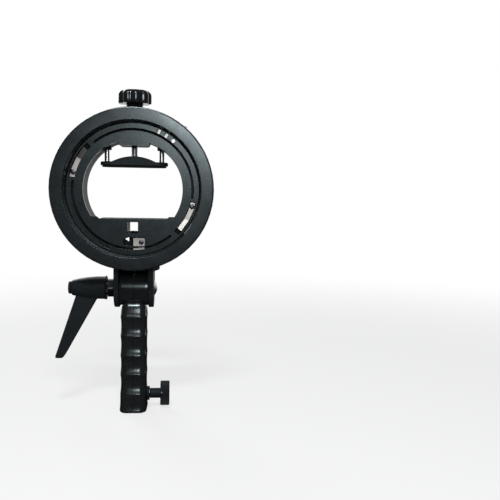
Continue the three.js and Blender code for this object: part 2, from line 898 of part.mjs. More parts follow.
// The port under the umbrella channel: square on the right, half round on the left
function port_outline(left, right, high, low) {
  const radius = (high - low) / 2;
  const centre = [left + radius, (high + low) / 2];
  return outline([
    [right, low],
    [right, high],
    ...arc(radius, quarter_turn_angle, quarter_turn_angle + half_turn_angle, centre),
  ]);
}

function umbrella_bore(grow, y_front, y_back) {
  const half_width = umbrella_width / 2 + grow;
  const half_height = umbrella_height / 2 + grow;
  return block(
    [-half_width, half_width],
    [y_front, y_back],
    [-umbrella_drop - half_height, -umbrella_drop + half_height],
  );
}

function bayonet_plate() {
  const disc = outline(arc(plate_radius, 0, full_turn_angle).slice(1));
  disc.holes.push(window_outline());
  const out = plate_front_y - overrun;
  const back = plate_back_y + overrun;
  const cuts = [];
  for (const half_turn of [0, half_turn_angle]) {
    const slot = arc_slot(
      slot_inner_radius,
      slot_outer_radius,
      slot_from_angle + half_turn,
      slot_to_angle + half_turn,
    );
    cuts.push(front(slot, out, back));
    const lug = sector(
      lug_inner_radius,
      lug_outer_radius,
      lug_from_angle + half_turn,
      lug_to_angle + half_turn,
    );
    cuts.push(front(lug, out, back));
    for (const side of [-1, 1]) {
      const near = stop_angle + half_turn + side * stop_half_angle;
      const pocket = sector(
        stop_inner_radius,
        stop_outer_radius,
        near - stop_pocket_angle / 2,
        near + stop_pocket_angle / 2,
      );
      cuts.push(front(pocket, out, plate_front_y + plate_thickness / 2));
    }
  }
  cuts.push(umbrella_bore(0, out, back));
  cuts.push(front(port_outline(port_left_x, port_right_x, port_high, port_low), out, back));
  cuts.push(lock_bore(lock_pin_radius + guide_play, out, back));
  return cut(front(disc, plate_front_y, plate_back_y), ...cuts);
}

function lock_bore(radius, from, to) {
  const [x, z] = polar(lock_ring, lock_angle);
  return bar("y", from, to, radius, [x, 0, z]);
}

// The collar's wall and the two ears, as seen from the front
function collar_outline() {
  const low_end = -ears_drop - ear_radius - overrun;
  const leg = (radius, x) => {
    const [cx, cz] = polar(radius, -tangent_angle);
    return cz - (cx - x) / Math.tan(radians(tangent_angle));
  };
  const right = (radius, x) => [
    [x, low_end],
    [x, leg(radius, x)],
    ...arc(radius, -tangent_angle, quarter_turn_angle),
  ];
  const whole = (radius, x) => [
    ...right(radius, x),
    ...right(radius, x).map(([px, pz]) => [-px, pz]).reverse().slice(1),
  ];
  return outline([
    ...whole(collar_radius, ear_outer_x),
    ...whole(window_radius, ear_inner_x).reverse(),
  ]);
}

// The same wall as seen from the side: the rim, its slope to the ears, and the ears' round ends
function collar_side() {
  const seat_y = plate_back_y + gap;
  const top = collar_radius + overrun;
  const low = -Math.sqrt(floor_radius ** 2 - ear_outer_x ** 2);
  return outline([
    [seat_y, top],
    [seat_y, low],
    [floor_back_y, low],
    ...arc(ear_radius, half_turn_angle, full_turn_angle, [0, -ears_drop]),
    [ear_radius, ear_high],
    [rim_y, rim_low],
    [rim_y, top],
  ]);
}

const pad_low = -rest_drop - pad_thickness;

function shelf() {
  const half = window_radius * Math.cos(Math.asin(rest_drop / window_radius)) + overrun;
  const top = pad_low - gap;
  return block([-half, half], [plate_back_y + gap, rim_y], [top - shelf_thickness, top]);
}

function yoke_frame() {
  const seat_y = plate_back_y + gap;
  const floor_inner = (window_radius + collar_radius) / 2; // hidden in the collar's wall
  const disc = outline(arc(floor_radius, 0, full_turn_angle).slice(1));
  disc.holes.push(outline(arc(floor_inner, 0, full_turn_angle).slice(1)));
  const chord = asin_degrees(rest_drop / floor_inner);
  const apron = outline(arc(floor_inner + gap, chord - half_turn_angle, -chord));
  const wall = common(
    front(collar_outline(), seat_y - overrun, ear_radius + overrun),
    sideways(collar_side(), -collar_radius - overrun, collar_radius + overrun),
  );
  const tab = tab_side(gap);
  const [tab_x, tab_root] = tab[0];
  const raised = [[tab_x, tab_root + overrun], ...tab];
  const nut_housing = common(
    join(
      block(
        [-nut_housing_half_width, nut_housing_half_width],
        [seat_y, rim_y],
        [tab_root, nut_housing_top],
      ),
      front(outline([...raised, ...raised.map(([x, z]) => [-x, z]).reverse()]), seat_y, rim_y),
    ),
    bar(
      "y",
      seat_y - overrun,
      rim_y + overrun,
      nut_housing_top,
      [0, 0, 0],
      nut_housing_top,
      ring_steps,
    ),
  );
  const rod_boss = (side) =>
    bar("z", rod_boss_low, rod_boss_high, rod_boss_radius, [side * rod_x, clamp_y, 0]);
  const channel_wall = umbrella_bore(housing_wall, floor_front_y, rim_y);
  const web_half = ear_inner_x + gap;
  const hood_low = -ears_drop + hood_radius;
  const hood_high = hood_low + hood_thickness;
  const hood = sideways(
    outline([
      [floor_back_y, web_high],
      [floor_back_y, hood_low],
      ...arc(hood_radius, quarter_turn_angle, hood_rear_angle, [0, -ears_drop]),
      ...arc(hood_radius + hood_thickness, hood_rear_angle, quarter_turn_angle, [0, -ears_drop]),
      [floor_back_y + web_thickness, hood_high],
      [floor_back_y + web_thickness, web_high],
    ]),
    -web_half,
    web_half,
  );
  const ear_ribs = [-1, 1].map((side) => {
    const x = [side * (ear_inner_x - ear_rib_height), side * (ear_inner_x + gap)];
    return block(
      side < 0 ? [x[1], x[0]] : x,
      [ear_rib_y - ear_rib_width / 2, ear_rib_y + ear_rib_width / 2],
      [hood_high - gap, ear_rib_high],
    );
  });
  const bosses = [leaf_screw_angle, leaf_screw_angle - half_turn_angle].flatMap((degrees) => {
    const [x, z] = polar(leaf_screw_ring, degrees);
    const side = Math.sign(x);
    const back = floor_back_y + back_boss_height;
    return [
      bar("y", leaf_back_y() + gap, back, leaf_boss_radius, [x, 0, z]),
      bar("y", floor_back_y, back, back_boss_radius, [x, 0, z]),
      block(
        side > 0 ? [collar_radius - overrun, x] : [x, -collar_radius + overrun],
        [floor_back_y - gap, back - gap],
        [z - back_boss_web / 2, z + back_boss_web / 2],
      ),
    ];
  });
  const groove_boss = bar("y", leaf_back_y() + gap, floor_back_y, leaf_boss_radius, [
    groove_screw_x,
    0,
    -groove_screw_drop,
  ]);
  const second_bosses = [-1, 1].map((side) =>
    bar("y", floor_front_y, floor_back_y + second_boss_height, second_boss_radius, [
      side * second_boss_x,
      0,
      -second_boss_drop,
    ]),
  );
  const bump = block(
    [bump_x - bump_width / 2, bump_x + bump_width / 2],
    [rim_y - bump_depth, rim_y],
    [collar_radius - overrun, nut_housing_top + bump_height],
  );
  const body = join(
    front(disc, floor_front_y, floor_back_y),
    front(apron, floor_front_y, floor_back_y),
    wall,
    nut_housing,
    rod_boss(-1),
    rod_boss(1),
    channel_wall,
    hood,
    ...ear_ribs,
    shelf(),
    ...bosses,
    groove_boss,
    ...second_bosses,
    bump,
  );
  return cut(body, ...yoke_cuts());
}

function leaf_back_y() {
  return plate_back_y + gap + leaf_thickness;
}

function yoke_cuts() {
  const seat_y = plate_back_y + gap;
  const far_back = rim_y + overrun;
  const pad_half = rest_half_width + gap;
  const hole_x = port_left_x + port_hole_inset;
  const hole_high = port_high - port_hole_drop;
  const ring_room = revolve(
    "y",
    [
      [recess_radius - gap, seat_y - overrun],
      [flange_radius, seat_y - overrun],
      [flange_radius, floor_front_y],
      [recess_radius - gap, floor_front_y],
    ],
    [0, 0, 0],
    ring_steps,
  );
  const cuts = [
    ring_room,
    block([-pad_half, pad_half], [seat_y - overrun, far_back], [pad_low - gap, -rest_drop + gap]),
    umbrella_bore(0, seat_y - overrun, rim_y + overrun),
    lock_bore(lock_pin_radius + guide_play, seat_y - overrun, floor_back_y + overrun),
    lock_notch(lock_ring - lock_pin_radius - gap, floor_radius + overrun),
    front(
      port_outline(port_left_x, port_pocket_x, port_high, port_low),
      seat_y - overrun,
      floor_front_y + port_pocket_depth,
    ),
    front(
      outline([
        [hole_x, port_high - port_hole_corner_drop],
        [hole_x + port_hole_width, hole_high - port_hole_height],
        [hole_x + port_hole_width, hole_high],
      ]),
      seat_y - overrun,
      floor_back_y + web_thickness + overrun,
    ),
    block(
      [-nut_half_length - gap, nut_half_length + gap],
      [seat_y - overrun, nut_back_y + gap],
      [nut_low - gap, nut_high + gap],
    ),
    bar("z", tab_height - overrun, nut_housing_top + overrun, clamp_screw_radius + guide_play, [
      0,
      clamp_y,
      0,
    ]),
  ];
  for (const side of [-1, 1]) {
    cuts.push(
      bar("z", rod_boss_low - overrun, collar_radius, rod_radius + guide_play, [
        side * rod_x,
        clamp_y,
        0,
      ]),
    );
    const nut_place = [side * nut_screw_x, 0, (nut_low + nut_high) / 2];
    cuts.push(bar("y", nut_back_y, far_back, small_screw_radius + screw_play, nut_place));
    cuts.push(
      bar("y", rim_y - small_head - gap, far_back, small_head_radius + gap, nut_place),
    );
    cuts.push(...ear_cuts(side));
  }
  cuts.push(shaft_leaf_screw_hole());
  for (const degrees of [leaf_screw_angle, leaf_screw_angle - half_turn_angle]) {
    const [x, z] = polar(leaf_screw_ring, degrees);
    cuts.push(leaf_screw_hole([x, 0, z]));
  }
  cuts.push(leaf_screw_hole([groove_screw_x, 0, -groove_screw_drop]));
  for (const degrees of lock_screw_angles) {
    const [x, z] = polar(lock_screw_ring, degrees);
    cuts.push(
      bar("y", floor_front_y - overrun, floor_back_y + overrun, small_screw_radius + screw_play, [
        x,
        0,
        z,
      ]),
    );
  }
  return cuts;
}

const leaf_screw_hole = (place) =>
  bar("y", leaf_back_y() - overrun, floor_back_y + gap, small_screw_radius + screw_play, place);

// The umbrella spring's rear end lies on the channel's floor, where a screw from below holds it
const channel_floor = -umbrella_drop - umbrella_height / 2;
const shaft_leaf_screw_place = [0, shaft_leaf_back_y - shaft_leaf_tab / 2, 0];

const shaft_leaf_screw_hole = () =>
  bar(
    "z",
    channel_floor - housing_wall - overrun,
    channel_floor + umbrella_height / 2,
    small_screw_radius + screw_play,
    shaft_leaf_screw_place,
  );

// The bolt's hole through an ear, square on the dome's side
function ear_cuts(side) {
  const place = [0, 0, -ears_drop];
  const reach = ear_outer_x + overrun;
  const from = side * (ear_inner_x - overrun);
  const to = side * reach;
  if (side < 0) return [bar("x", from, to, bolt_radius + screw_play, place)];
  const half = bolt_square / 2 + gap;
  return [block([from, to], [-half, half], [-ears_drop - half, -ears_drop + half])];
}

// A lug spring: a strip along the window whose free end is bent forward
function lug_spring(half_turn) {
  const inner = lug_inner_radius + leaf_inset;
  const outer = lug_outer_radius - leaf_inset;
  const base_y = plate_back_y + gap;
  const rings = [];
  const station = (degrees, y) => {
    const [xi, zi] = polar(inner, degrees + half_turn);
    const [xo, zo] = polar(outer, degrees + half_turn);
    rings.push([
      new THREE.Vector3(xi, y, zi),
      new THREE.Vector3(xo, y, zo),
      new THREE.Vector3(xo, y + leaf_thickness, zo),
      new THREE.Vector3(xi, y + leaf_thickness, zi),
    ]);
  };
  station(leaf_tip_angle, base_y - leaf_tip_rise);
  for (let i = 0; i <= leaf_steps; i++) {
    station(leaf_bend_angle + ((lug_to_angle - leaf_bend_angle) * i) / leaf_steps, base_y);
  }
  const [x, z] = polar(leaf_screw_ring, leaf_screw_angle + half_turn);
  const hole = bar("y", plate_front_y, floor_back_y, small_screw_radius + screw_play, [x, 0, z]);
  return cut(loft(rings), hole);
}

function leaf_screw(place) {
  const seat = plate_back_y;
  return screw("y", seat, floor_back_y - gap, small_screw_radius, small_head_radius, small_head, place);
}

// The leaf in the port, which reaches down behind the groove, with its end turned back
function groove_spring() {
  const y = plate_back_y + gap;
  const t = leaf_thickness;
  const high = port_high - leaf_inset;
  const profile = outline([
    [y + t, high],
    [y, high],
    [y, groove_leaf_bend],
    [y + groove_leaf_hook, groove_leaf_low],
    [y + groove_leaf_hook + t, groove_leaf_low],
    [y + t, groove_leaf_bend],
  ]);
  const place = [groove_screw_x, 0, -groove_screw_drop];
  return cut(
    sideways(profile, groove_leaf_left_x, port_right_x - leaf_inset),
    bar("y", plate_front_y, floor_back_y, small_screw_radius + screw_play, place),
  );
}

// The leaf that grips an umbrella's shaft, raised at its front end
function umbrella_spring() {
  const floor = channel_floor + gap;
  const root = shaft_leaf_back_y - shaft_leaf_tab;
  const middle = (shaft_leaf_front_y + root) / 2;
  const leaf = (z) => [
    ...bend([shaft_leaf_front_y, z + shaft_leaf_rise], [middle, z], [root, z], shaft_leaf_steps),
    [shaft_leaf_back_y, z],
  ];
  const profile = outline([...leaf(floor), ...leaf(floor + shaft_leaf_thickness).reverse()]);
  return cut(sideways(profile, -shaft_leaf_half_width, shaft_leaf_half_width), shaft_leaf_screw_hole());
}

function clamp_nut() {
  const tapped = [-1, 1].map((side) =>
    bar(
      "y",
      nut_back_y - nut_screw_length,
      nut_back_y + overrun,
      small_screw_radius + screw_play,
      [side * nut_screw_x, 0, (nut_low + nut_high) / 2],
    ),
  );
  return cut(
    block([-nut_half_length, nut_half_length], [nut_front_y, nut_back_y], [nut_low, nut_high]),
    bar("z", nut_low - overrun, nut_high + overrun, clamp_screw_radius + guide_play, [
      0,
      clamp_y,
      0,
    ]),
    ...tapped,
  );
}

function lock_cover() {
  const low = floor_back_y + gap;
  const thin = low + lock_cover_thickness;
  const high = low + lock_block_height;
  const step = (from, to, back) =>
    front(sector(lock_cover_inner, lock_cover_outer, from, to), low, back);
  const slot_angle = asin_degrees(lock_slot_half_width / lock_ring);
  const bridge_angle = slot_angle + lock_bridge_overlap_angle;
  const raised = [
    step(lock_cover_from_angle, lock_angle - slot_angle, high),
    step(lock_angle - bridge_angle, lock_angle + bridge_angle, low + lock_bridge_height),
    step(lock_angle + slot_angle, lock_angle + lock_block_angle, high),
  ];
  const [x, z] = polar(lock_ring, lock_angle);
  const roof = release_y + release_radius + lock_travel + lock_spring_length + 2 * gap;
  const holes = lock_screw_angles.flatMap((degrees) => {
    const [sx, sz] = polar(lock_screw_ring, degrees);
    return [bar("y", low - overrun, high + overrun, small_screw_radius + screw_play, [sx, 0, sz])];
  });
  return cut(
    join(step(lock_cover_from_angle, lock_cover_to_angle, thin), ...raised),
    lock_notch(lock_ring - lock_pin_radius - gap, lock_cover_outer + overrun),
    bar("y", low - overrun, roof, lock_pin_radius + gap, [x, 0, z]),
    bar("y", low - overrun, high + overrun, lock_pin_tail_radius + screw_play, [x, 0, z]),
    ...holes,
  );
}

// Head: everything that is fixed to the tilting yoke, measured from the ring's centre
function head() {
  const group = new THREE.Group();
  add(group, "front_ring", front_ring(), black_grained);
  add(group, "bayonet_plate", bayonet_plate(), black_grained);
  add(group, "yoke_frame", yoke_frame(), black_satin);
  add(
    group,
    "rest_pad",
    block(
      [-rest_half_width, rest_half_width],
      [plate_back_y + gap, rim_y - pad_inset],
      [pad_low, -rest_drop],
    ),
    black_rubber,
  );
  for (const [name, half_turn] of [["left", 0], ["right", half_turn_angle]]) {
    const [x, z] = polar(leaf_screw_ring, leaf_screw_angle + half_turn);
    add(group, "lug_spring_" + name, lug_spring(half_turn), bright_zinc);
    add(group, "lug_screw_" + name, leaf_screw([x, 0, z]), dark_steel);
  }
  add(group, "groove_spring", groove_spring(), bright_zinc);
  add(group, "groove_screw", leaf_screw([groove_screw_x, 0, -groove_screw_drop]), dark_steel);
  add(group, "umbrella_spring", umbrella_spring(), bright_zinc);
  const bow_screw = screw(
    "z",
    channel_floor - housing_wall - gap,
    channel_floor + gap + shaft_leaf_thickness,
    small_screw_radius,
    small_head_radius,
    small_head,
    shaft_leaf_screw_place,
  );
  add(group, "umbrella_screw", bow_screw, bright_zinc);
  add(group, "clamp_nut", clamp_nut(), alloy);
  add(group, "lock_cover", lock_cover(), black_satin);
  for (const [name, side] of [["left", -1], ["right", 1]]) {
    const nut_place = [side * nut_screw_x, 0, (nut_low + nut_high) / 2];
    const seat = rim_y - small_head;
    const nut_screw = screw(
      "y",
      seat,
      seat - nut_screw_length,
      small_screw_radius,
      small_head_radius,
      small_head,
      nut_place,
    );
    add(group, "nut_screw_" + name, nut_screw, bright_zinc);
  }
  lock_screw_angles.forEach((degrees, i) => {
    const [x, z] = polar(lock_screw_ring, degrees);
    const on_block = degrees < lock_angle + lock_block_angle;
    const top = floor_back_y + gap + (on_block ? lock_block_height : lock_cover_thickness);
    const made = screw(
      "y",
      top + gap,
      floor_front_y,
      small_screw_radius,
      small_head_radius,
      small_head,
      [x, 0, z],
    );
    add(group, "lock_screw_" + (i + 1), made, bright_zinc);
  });
  add(group, "pivot_bolt", pivot_bolt(), bright_zinc);
  return group;
}

function pivot_bolt() {
  const place = [0, 0, -ears_drop];
  const seat = ear_outer_x + gap;
  const cap_radius = (dome_radius ** 2 + dome_height ** 2) / (2 * dome_height);
  const profile = [[0, seat]];
  const steps = 4;
  const opening = Math.asin(dome_radius / cap_radius);
  for (let i = steps; i >= 0; i--) {
    const a = (opening * i) / steps;
    profile.push([
      cap_radius * Math.sin(a),
      seat + dome_height - cap_radius * (1 - Math.cos(a)),
    ]);
  }
  const half = bolt_square / 2;
  const square = block(
    [ear_inner_x + gap, seat + dome_height / 2],
    [-half, half],
    [-ears_drop - half, -ears_drop + half],
  );
  return join(
    revolve("x", profile, place),
    square,
    bar("x", -bolt_end_x, ear_outer_x, bolt_radius, place),
  );
}

// Bayonet lock, which draws back as one piece
function bayonet_lock() {
  const group = new THREE.Group();
  const [x, z] = polar(lock_ring, lock_angle);
  const tip_y = plate_front_y - lock_pin_front;
  const shoulder_y = release_y + release_radius;
  const tail_y = floor_back_y + gap + lock_block_height - lock_tail_inset;
  const pin = join(
    bar("y", tip_y + lock_pin_front / 2, shoulder_y, lock_pin_radius, [x, 0, z]),
    bar("y", tip_y, tip_y + lock_pin_front, lock_pin_radius * (2 / 3), [x, 0, z], lock_pin_radius),
    bar("y", shoulder_y - overrun, tail_y, lock_pin_tail_radius, [x, 0, z]),
  );
  const cross_seat = lock_ring + lock_pin_radius - release_root;
  const across = (from, to, radius) =>
    turned(bar("x", from, to, radius, [0, release_y, 0]), lock_angle);
  const socket = across(cross_seat - gap, release_reach, release_radius + gap);
  add(group, "lock_pin", cut(pin, socket), bright_zinc);
  const round = release_radius / 2;
  const release = join(
    across(cross_seat, release_reach - round, release_radius),
    turned(
      bar(
        "x",
        release_reach - round,
        release_reach,
        release_radius,
        [0, release_y, 0],
        release_radius - round,
      ),
      lock_angle,
    ),
  );
  add(group, "release_pin", release, bright_zinc);
  const spring_start = shoulder_y + gap;
  const inner = lock_spring_radius - lock_spring_wire;
  const spring = revolve(
    "y",
    [
      [inner, spring_start],
      [lock_spring_radius, spring_start],
      [lock_spring_radius, spring_start + lock_spring_length],
      [inner, spring_start + lock_spring_length],
    ],
    [x, 0, z],
    pin_steps,
  );
  add(group, "lock_spring", spring, dark_steel);
  return group;
}

// Shoe of the flash clamp: what slides on the guide rods' line
function clamp_carriage() {
  const group = new THREE.Group();
  const low = shoe_plate_bottom;
  const flat = low + shoe_plate_thickness;
  const right = [
    [shoe_half_length, low],
    [shoe_half_length, flat - shoe_edge],
    [shoe_half_length - shoe_edge, flat],
    ...bend(
      [shoe_hump_half_width, flat],
      [shoe_hump_half_width / 2, shoe_hump_top],
      [0, shoe_hump_top],
      shoe_hump_steps,
    ),
  ];
  const side_view = outline([...right, ...right.map(([x, z]) => [-x, z]).reverse().slice(1)]);
  const plan_view = stadium(shoe_half_length, shoe_half_depth);
  const plan = upright(plan_view, low - overrun, shoe_hump_top + overrun).translate(0, clamp_y, 0);
  const sink_top = shoe_hump_top - shoe_roof;
  const place = [0, clamp_y, 0];
  const rods = [-1, 1].map((side) => [side * rod_x, clamp_y, 0]);
  const seat = flat - rod_seat;
  const plate = cut(
    common(front(side_view, clamp_y - 2 * shoe_half_depth, clamp_y + 2 * shoe_half_depth), plan),
    bar("z", low - overrun, sink_top, shoe_sink_radius, place, shoe_sink_radius, round_steps),
    bar("z", low, shoe_hump_top + overrun, clamp_neck_radius + guide_play, place),
    ...rods.map((rod) => bar("z", seat, shoe_hump_top, rod_radius + gap, rod)),
  );
  add(group, "clamp_plate", plate, black_satin);

  const pad_top = low - gap;
  const pad = upright(
    stadium(shoe_half_length - pad_inset, shoe_half_depth - pad_inset),
    pad_top - pad_thickness,
    pad_top,
  ).translate(0, clamp_y, 0);
  add(group, "clamp_pad", pad, black_rubber);

  for (const [name, rod] of [["left", rods[0]], ["right", rods[1]]]) {
    const shaft = bar("z", seat + gap, rod_top - rod_round, rod_radius, rod);
    const end = bar("z", rod_top - rod_round, rod_top, rod_radius, rod, rod_radius - rod_round);
    add(group, "guide_rod_" + name, join(shaft, end), bright_zinc);
  }
  return group;
}

// An outline with straight sides along X and half round ends
function stadium(half_length, half_width) {
  const centre = half_length - half_width;
  return outline([
    ...arc(half_width, -quarter_turn_angle, quarter_turn_angle, [centre, 0]),
    ...arc(half_width, quarter_turn_angle, quarter_turn_angle + half_turn_angle, [-centre, 0]),
  ]);
}

// The clamp screw with what turns with it
function clamp_spindle() {
  const group = new THREE.Group();
  const place = [0, clamp_y, 0];
  const sink_top = shoe_hump_top - shoe_roof;
  const clip_top = sink_top - gap;
  const neck_low = clip_top - 2 * clip_thickness;
  const shoulder = shoe_hump_top + gap;
  const screw_top = knob_low + knob_hold;
  const spindle = join(
    bar("z", neck_low, shoulder + overrun, clamp_neck_radius, place),
    bar("z", shoulder, screw_top, clamp_screw_radius, place),
  );
  add(group, "clamp_screw", spindle, bright_zinc);
  const clip = cut(
    bar("z", clip_top - clip_thickness, clip_top, clip_radius, place),
    bar("z", neck_low - overrun, clip_top + overrun, clamp_neck_radius + gap, place),
  );
  add(group, "clamp_clip", clip, dark_steel);

  const steps = knob_lobes * knob_lobe_steps;
  const lobes = (inset, z) =>
    Array.from({ length: steps }, (_, i) => {
      const degrees = (full_turn_angle * i) / steps;
      const wave = knob_wave * (1 - Math.cos(radians(degrees * knob_lobes)));
      const [x, y] = polar(knob_radius - inset - wave, degrees);
      return new THREE.Vector3(x, y + clamp_y, z);
    });
  const rings = [lobes(knob_foot, knob_low), lobes(0, knob_low + knob_foot)];
  for (let i = 0; i <= knob_round_steps; i++) {
    const a = (i / knob_round_steps) * (Math.PI / 2);
    const inset = knob_round * (1 - Math.cos(a));
    rings.push(lobes(inset, knob_high - knob_round * (1 - Math.sin(a))));
  }
  const hub_low = knob_low - knob_hub_drop;
  const knob = cut(
    join(
      loft(rings),
      bar("z", hub_low, knob_low + gap, knob_hub_low_radius, place, knob_hub_radius, round_steps),
    ),
    bar("z", hub_low - overrun, screw_top + gap, clamp_screw_radius + gap, place),
  );
  add(group, "clamp_knob", knob, black_gloss);
  return group;
}

// Clamping lever on the bolt's end, measured from the pivot
function lever_seat() {
  const group = new THREE.Group();
  const washer_start = -ear_outer_x - gap;
  const washer_end = washer_start - insert_washer_thickness;
  const bore = bolt_radius + screw_play;
  const washer = cut(
    bar("x", washer_end, washer_start, insert_washer_radius, [0, 0, 0], insert_washer_radius, round_steps),
    bar("x", washer_end - overrun, washer_start + overrun, bore),
  );
  add(group, "lever_washer", washer, dark_steel);
  return group;
}

function star(radius, depth) {
  const points = [];
  for (let i = 0; i < spline_teeth; i++) {
    points.push(polar(radius, (full_turn_angle * i) / spline_teeth));
    points.push(polar(radius - depth, (full_turn_angle * (i + 1 / 2)) / spline_teeth));
  }
  return outline(points);
}

function lever_core() {
  const group = new THREE.Group();
  const base_start = -ear_outer_x - gap - insert_washer_thickness - gap;
  const hexagon = outline(
    Array.from({ length: insert_sides }, (_, i) =>
      polar(insert_base_flats / Math.sqrt(3), (full_turn_angle * i) / insert_sides),
    ),
  );
  const base = common(
    sideways(hexagon, insert_base_end_x, base_start),
    bar(
      "x",
      insert_base_end_x - overrun,
      base_start + overrun,
      insert_base_radius,
      [0, 0, 0],
      insert_base_radius,
      round_steps,
    ),
  );
  const insert = cut(
    join(base, sideways(star(spline_radius, spline_depth), spline_end_x, insert_base_end_x + gap)),
    bar("x", -bolt_end_x - gap, base_start + overrun, bolt_radius + screw_play),
    bar("x", spline_end_x - overrun, -bolt_end_x, lever_screw_radius + screw_play),
  );
  add(group, "lever_insert", insert, dark_steel);
  const made = screw(
    "x",
    lever_head_start_x,
    lever_screw_end_x,
    lever_screw_radius,
    lever_head_radius,
    lever_head_start_x - lever_head_end_x,
    [0, 0, 0],
  );
  add(group, "lever_screw", made, dark_steel);
  const inner = lever_screw_radius + gap;
  const start = lever_head_start_x + gap;
  const spring = revolve("x", [
    [inner, start],
    [inner + lever_spring_wire, start],
    [inner + lever_spring_wire, start + lever_spring_length],
    [inner, start + lever_spring_length],
  ], [0, 0, 0], pin_steps);
  add(group, "lever_spring", spring, dark_steel);
  return group;
}

// The blade's outline as seen from the front, drawn in by inset for its hollow
function blade_outline(inset) {
  const hub_low = -hub_radius / 2;
  const tip = -blade_tip_drop + inset;
  const at = (x_root, x_tip, z) =>
    x_root + ((x_tip - x_root) * (hub_low - z)) / (blade_tip_drop + hub_low);
  const outer = (z) => at(blade_root_outer_x, blade_tip_outer_x, z) + inset;
  const inner = (z) => at(blade_root_inner_x, blade_tip_inner_x, z) - inset;
  const corner = Math.max(blade_corner - inset, blade_corner / 4);
  const up = tip + corner;
  return outline([
    [outer(hub_low), hub_low],
    ...bend([outer(up), up], [outer(tip), tip], [outer(tip) + corner, tip], 3),
    ...bend([inner(tip) - corner, tip], [inner(tip), tip], [inner(up), up], 3),
    [inner(hub_low), hub_low],
  ]);
}

function lever_handle() {
  const group = new THREE.Group();
  const lip_x = hub_start_x - hub_lip_width;
  const hub = revolve("x", [
    [0, hub_start_x],
    [hub_lip_radius, hub_start_x],
    [hub_lip_radius, lip_x],
    ...bend(
      [hub_radius, lip_x],
      [hub_belly_radius, hub_belly_x],
      [hub_end_radius, hub_end_x + hub_round],
      hub_steps,
    ),
    [hub_end_radius - hub_round, hub_end_x],
    [0, hub_end_x],
  ]);
  const blade = front(blade_outline(0), -blade_half_depth, blade_half_depth);
  const hollow = cut(
    front(blade_outline(blade_wall), -blade_half_depth + blade_floor, blade_half_depth + overrun),
    hub,
  );
  const handle = cut(
    join(hub, cut(blade, hollow)),
    sideways(star(spline_radius + gap, spline_depth), hub_web_start_x, hub_start_x + overrun),
    bar("x", hub_web_start_x, hub_web_end_x - overrun, lever_screw_radius + screw_play + gap),
    bar("x", hub_web_end_x, hub_end_x - overrun, hub_bore_radius),
  );
  add(group, "clamp_lever", handle, black_satin);
  const cap = revolve("x", [
    [0, cap_start_x],
    [hub_bore_radius - gap, cap_start_x],
    [hub_bore_radius - gap, hub_end_x - gap],
    [cap_brim_radius, hub_end_x - gap],
    [cap_brim_radius - gap, cap_end_x],
    [0, cap_end_x],
  ]);
  add(group, "lever_cap", cap, black_satin);
  return group;
}

const bracket = new THREE.Group();
bracket.add(grip(), stand_clamp());

const ring_frame = new THREE.Group();
ring_frame.position.z = ring_z;
ring_frame.add(head(), bayonet_lock(), clamp_carriage(), clamp_spindle());
bracket.add(ring_frame);

const pivot_frame = new THREE.Group();
pivot_frame.position.z = pivot_z;
pivot_frame.add(lever_seat(), lever_core(), lever_handle());
bracket.add(pivot_frame);

export default bracket;
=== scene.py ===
# %% [markdown]
# # A flash mount bracket, finished in Blender
#
# The bracket has a pistol grip for a light stand, a head that tilts on the grip, with a shelf and a
# screw clamp over it, and a round bayonet in front that light shapers lock on. The CAD model fixes the
# sizes and places. This lesson finishes it: rounded edges, turned and moulded shapes in more facets than
# a CAD model needs, threads, cross recesses, and a surface for every part.
#
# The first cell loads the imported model. Its nodes are Blender objects whose place is in their mesh, in
# metres, with Z up.

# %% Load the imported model
import json
import math
import bmesh
import bpy
from mathutils import Matrix, Vector


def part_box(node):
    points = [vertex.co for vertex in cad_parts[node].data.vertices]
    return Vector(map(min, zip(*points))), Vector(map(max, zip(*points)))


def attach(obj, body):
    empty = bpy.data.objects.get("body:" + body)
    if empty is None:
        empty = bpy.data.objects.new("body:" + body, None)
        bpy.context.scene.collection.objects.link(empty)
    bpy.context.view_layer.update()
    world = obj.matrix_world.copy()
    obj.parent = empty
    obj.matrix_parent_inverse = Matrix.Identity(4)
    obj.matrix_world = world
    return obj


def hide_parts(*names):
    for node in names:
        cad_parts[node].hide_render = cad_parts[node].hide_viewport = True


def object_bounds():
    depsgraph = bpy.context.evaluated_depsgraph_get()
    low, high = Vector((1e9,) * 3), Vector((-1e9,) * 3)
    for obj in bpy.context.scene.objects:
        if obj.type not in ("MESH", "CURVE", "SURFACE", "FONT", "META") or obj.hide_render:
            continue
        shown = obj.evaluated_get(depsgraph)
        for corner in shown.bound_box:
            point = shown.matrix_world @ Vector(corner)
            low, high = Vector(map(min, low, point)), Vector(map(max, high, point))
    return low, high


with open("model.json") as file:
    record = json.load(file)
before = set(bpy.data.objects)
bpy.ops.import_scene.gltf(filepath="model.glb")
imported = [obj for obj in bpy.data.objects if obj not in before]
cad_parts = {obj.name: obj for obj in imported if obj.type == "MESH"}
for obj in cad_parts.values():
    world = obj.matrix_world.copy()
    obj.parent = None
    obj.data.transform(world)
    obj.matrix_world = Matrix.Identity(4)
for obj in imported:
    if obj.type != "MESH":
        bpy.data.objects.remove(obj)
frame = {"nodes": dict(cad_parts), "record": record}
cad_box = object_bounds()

nodes = frame["nodes"]

# %% [markdown]
# ## Small helpers
#
# Sizes on such an object are in millimetres, so one name turns them into Blender's metres. A piece must
# ride on the body that its CAD node belongs to, and the record says which one that is.

# %% Units and bodies
mm = 0.001
bodies = frame["record"]["behaviour"]["bodies"]
body_of = {node: body for body, members in bodies.items() for node in members}


def middle(node):
    """The middle of a CAD node's box."""
    low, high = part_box(node)
    return (low + high) / 2


ring_middle = middle("bayonet_plate")
pivot_middle = middle("friction_washer_left")
print("ring centre at", [round(c / mm, 1) for c in ring_middle], "mm")

